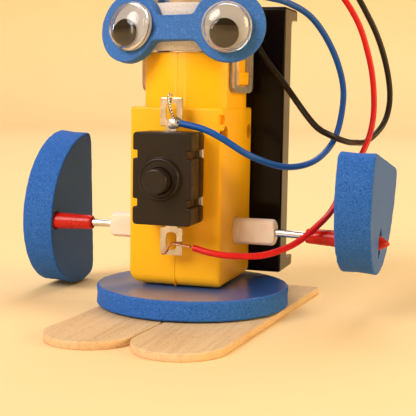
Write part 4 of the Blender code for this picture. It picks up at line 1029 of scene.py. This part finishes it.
def make_holder():
    low, high = corners("battery_holder")
    front, back, deep, end = low.y, low.y + 12.0, low.y + 6.0, 2.4
    side = rounded(rectangle(front, low.z, back, high.z), 0.9, 4)
    tray = slab("X", side, rims(high.x - low.x, 0.5, 4), low.x)
    room = block((low.x + 1.0, front + 1.2, low.z + 1.3), (high.x - 1.0, back + 5, high.z - 1.3))
    dip = rounded(rectangle(deep, low.z + end, back + 4, high.z - end), 2.0, 5, (0, 3))
    dip = slab("X", dip, [(0, 0), (0, 40)], low.x - 4)
    holes = [rod("Z", WIRE_RADIUS + 0.3, high.z - 3, high.z + 1, place) for place in WIRE_HOLES]
    tray = combined("battery_holder_tray", tray, room, dip, *holes)
    add("battery_holder_tray", tray, "holder_plastic", ["battery_holder"], "black_plastic", smooth=32)


def make_cell(side):
    node = f"battery_cell_{side}"
    low, high = corners(node)
    radius, length, nub = 6.95, 49.0, 1.2
    profile = [
        (0, 0.15), (4.6, 0.15), (4.8, 0.0), (radius - 0.7, 0.0), (radius - 0.2, 0.15), (radius, 0.6),
        (radius, length - 1.0), (radius - 0.15, length - 0.45), (radius - 0.5, length - 0.15),
        (radius - 0.9, length - 0.1), (radius - 1.1, length - 0.35), (2.9, length - 0.35), (2.75, length - 0.2),
        (2.7, length + nub - 0.3), (2.4, length + nub), (0, length + nub),
    ]  # fmt: skip
    centre = (low + high) / 2
    place = Matrix.Translation((centre.x, centre.y, low.z if side == "left" else high.z))
    if side == "right":
        place = place @ Matrix.Rotation(pi, 4, "X")
    add(f"{node}_can", moved(turned(profile, 72), place), "cell_wrap", [node])


# -------------------- CAD nodes that stay


def dress_cad_nodes():
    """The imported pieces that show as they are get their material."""
    for name, node in frame["nodes"].items():
        look = LOOKS[SLOT_OF[name]]
        for slot in node.material_slots:
            slot.link = "OBJECT"
            slot.material = look
        if not node.material_slots:
            node.data.materials.append(look)


def soften(*names, width=0.12):
    for name in names:
        node = frame["nodes"][name]
        step = node.modifiers.new("Flat", "DECIMATE")
        step.decimate_type = "DISSOLVE"
        step.angle_limit = radians(1)
        edge = node.modifiers.new("Edges", "BEVEL")
        edge.width = width * MM
        edge.segments = 2
        edge.limit_method = "ANGLE"
        edge.angle_limit = radians(40)


# -------------------- floor and light


def make_stage():
    """A round cream floor that curves up into a low wall."""
    flat, wall_depth, wall_height = 1100, 250, 190
    profile = [(0, 0), (300, 0), (700, 0), (flat, 0)]
    turns = between(0, pi / 2, 12)[1:]
    profile += [(flat + wall_depth * sin(t), wall_height * (1 - cos(t))) for t in turns]
    floor = bare("floor", turned(profile, 96))
    floor.data.shade_smooth()
    look = Look("floor_paper")
    tone = look.noise(60.0, 2.0)
    look.paint(tone, (0.92, 0.67, 0.355), (0.94, 0.685, 0.365))
    look.rough(tone, 0.75, 0.85)
    floor.data.materials.append(look.material)


def make_light():
    """Three round lamps, in metres: in front, over the floor behind, and warm from the right."""
    middle, behind = (0, 0, 0.03), (0, 0.65, 0)
    for name, place, target, size, power, colour in (
        ("key", (-0.50, -0.98, 0.80), middle, 0.85, 16.0, (1.0, 0.95, 0.91)),
        ("top", (-0.10, 0.75, 1.00), behind, 1.0, 8.0, (1.0, 0.98, 0.95)),
        ("right", (0.86, 0.02, 0.30), middle, 0.5, 5.4, (1.0, 0.78, 0.40)),
    ):
        light = bpy.data.lights.new(name, "AREA")
        light.shape, light.size, light.energy, light.color = "DISK", size, power, colour
        lamp = bpy.data.objects.new(name, light)
        bpy.context.collection.objects.link(lamp)
        lamp.location = place
        lamp.rotation_euler = (Vector(target) - Vector(place)).to_track_quat("-Z", "Y").to_euler()
    world = bpy.data.worlds.new("studio")
    world.use_nodes = True
    nodes, links = world.node_tree.nodes, world.node_tree.links
    ray = nodes.new("ShaderNodeTexCoord")
    split = nodes.new("ShaderNodeSeparateXYZ")
    links.new(ray.outputs["Generated"], split.inputs["Vector"])
    ramp = nodes.new("ShaderNodeValToRGB")
    links.new(split.outputs["Z"], ramp.inputs["Fac"])
    level, overhead = ramp.color_ramp.elements
    level.position, level.color = 0.0, (0.20, 0.13, 0.06, 1)
    overhead.position, overhead.color = 0.9, (0.60, 0.44, 0.26, 1)
    sky = nodes["Background"]
    links.new(ramp.outputs["Color"], sky.inputs["Color"])
    sky.inputs["Strength"].default_value = 0.72
    bpy.context.scene.world = world
    bpy.context.scene.view_settings.view_transform = "Standard"


# -------------------- the whole robot

make_camera()
dress_cad_nodes()
make_wires()
make_strands("strand_top", TOP_STRANDS, "tinned_metal", "strands_top")
make_strands("strand_bottom", BOTTOM_STRANDS, "copper", "strands_bottom")
make_sticks()
make_base()
make_housing_half(-1)
make_housing_half(1)
make_strap()
make_shaft()
make_rods()
make_sleeve("sleeve_right", along_right(24.3), Vector((cos(RIGHT_DROOP), 0, -sin(RIGHT_DROOP))), 16.9)
make_sleeve("sleeve_left", Vector((-22.7, 0, AXLE_Z)), Vector((-1, 0, 0)), 14.6)
make_paddles()
make_switch()
make_spring()
make_lug("switch_lug_top", 0.0, 1)
make_lug("switch_lug_bottom", 0.3, -1)
make_highlight_bead()
make_tapes()
make_glasses()
make_eye("left", -10.2, 0.1, 1.78, radians(40))
make_eye("right", 9.65, 0.05, 1.2, radians(22))
make_holder()
make_cell("left")
make_cell("right")
soften("motor_can", "motor_end_cap", "motor_terminal_front", "motor_terminal_rear")
make_stage()
make_light()
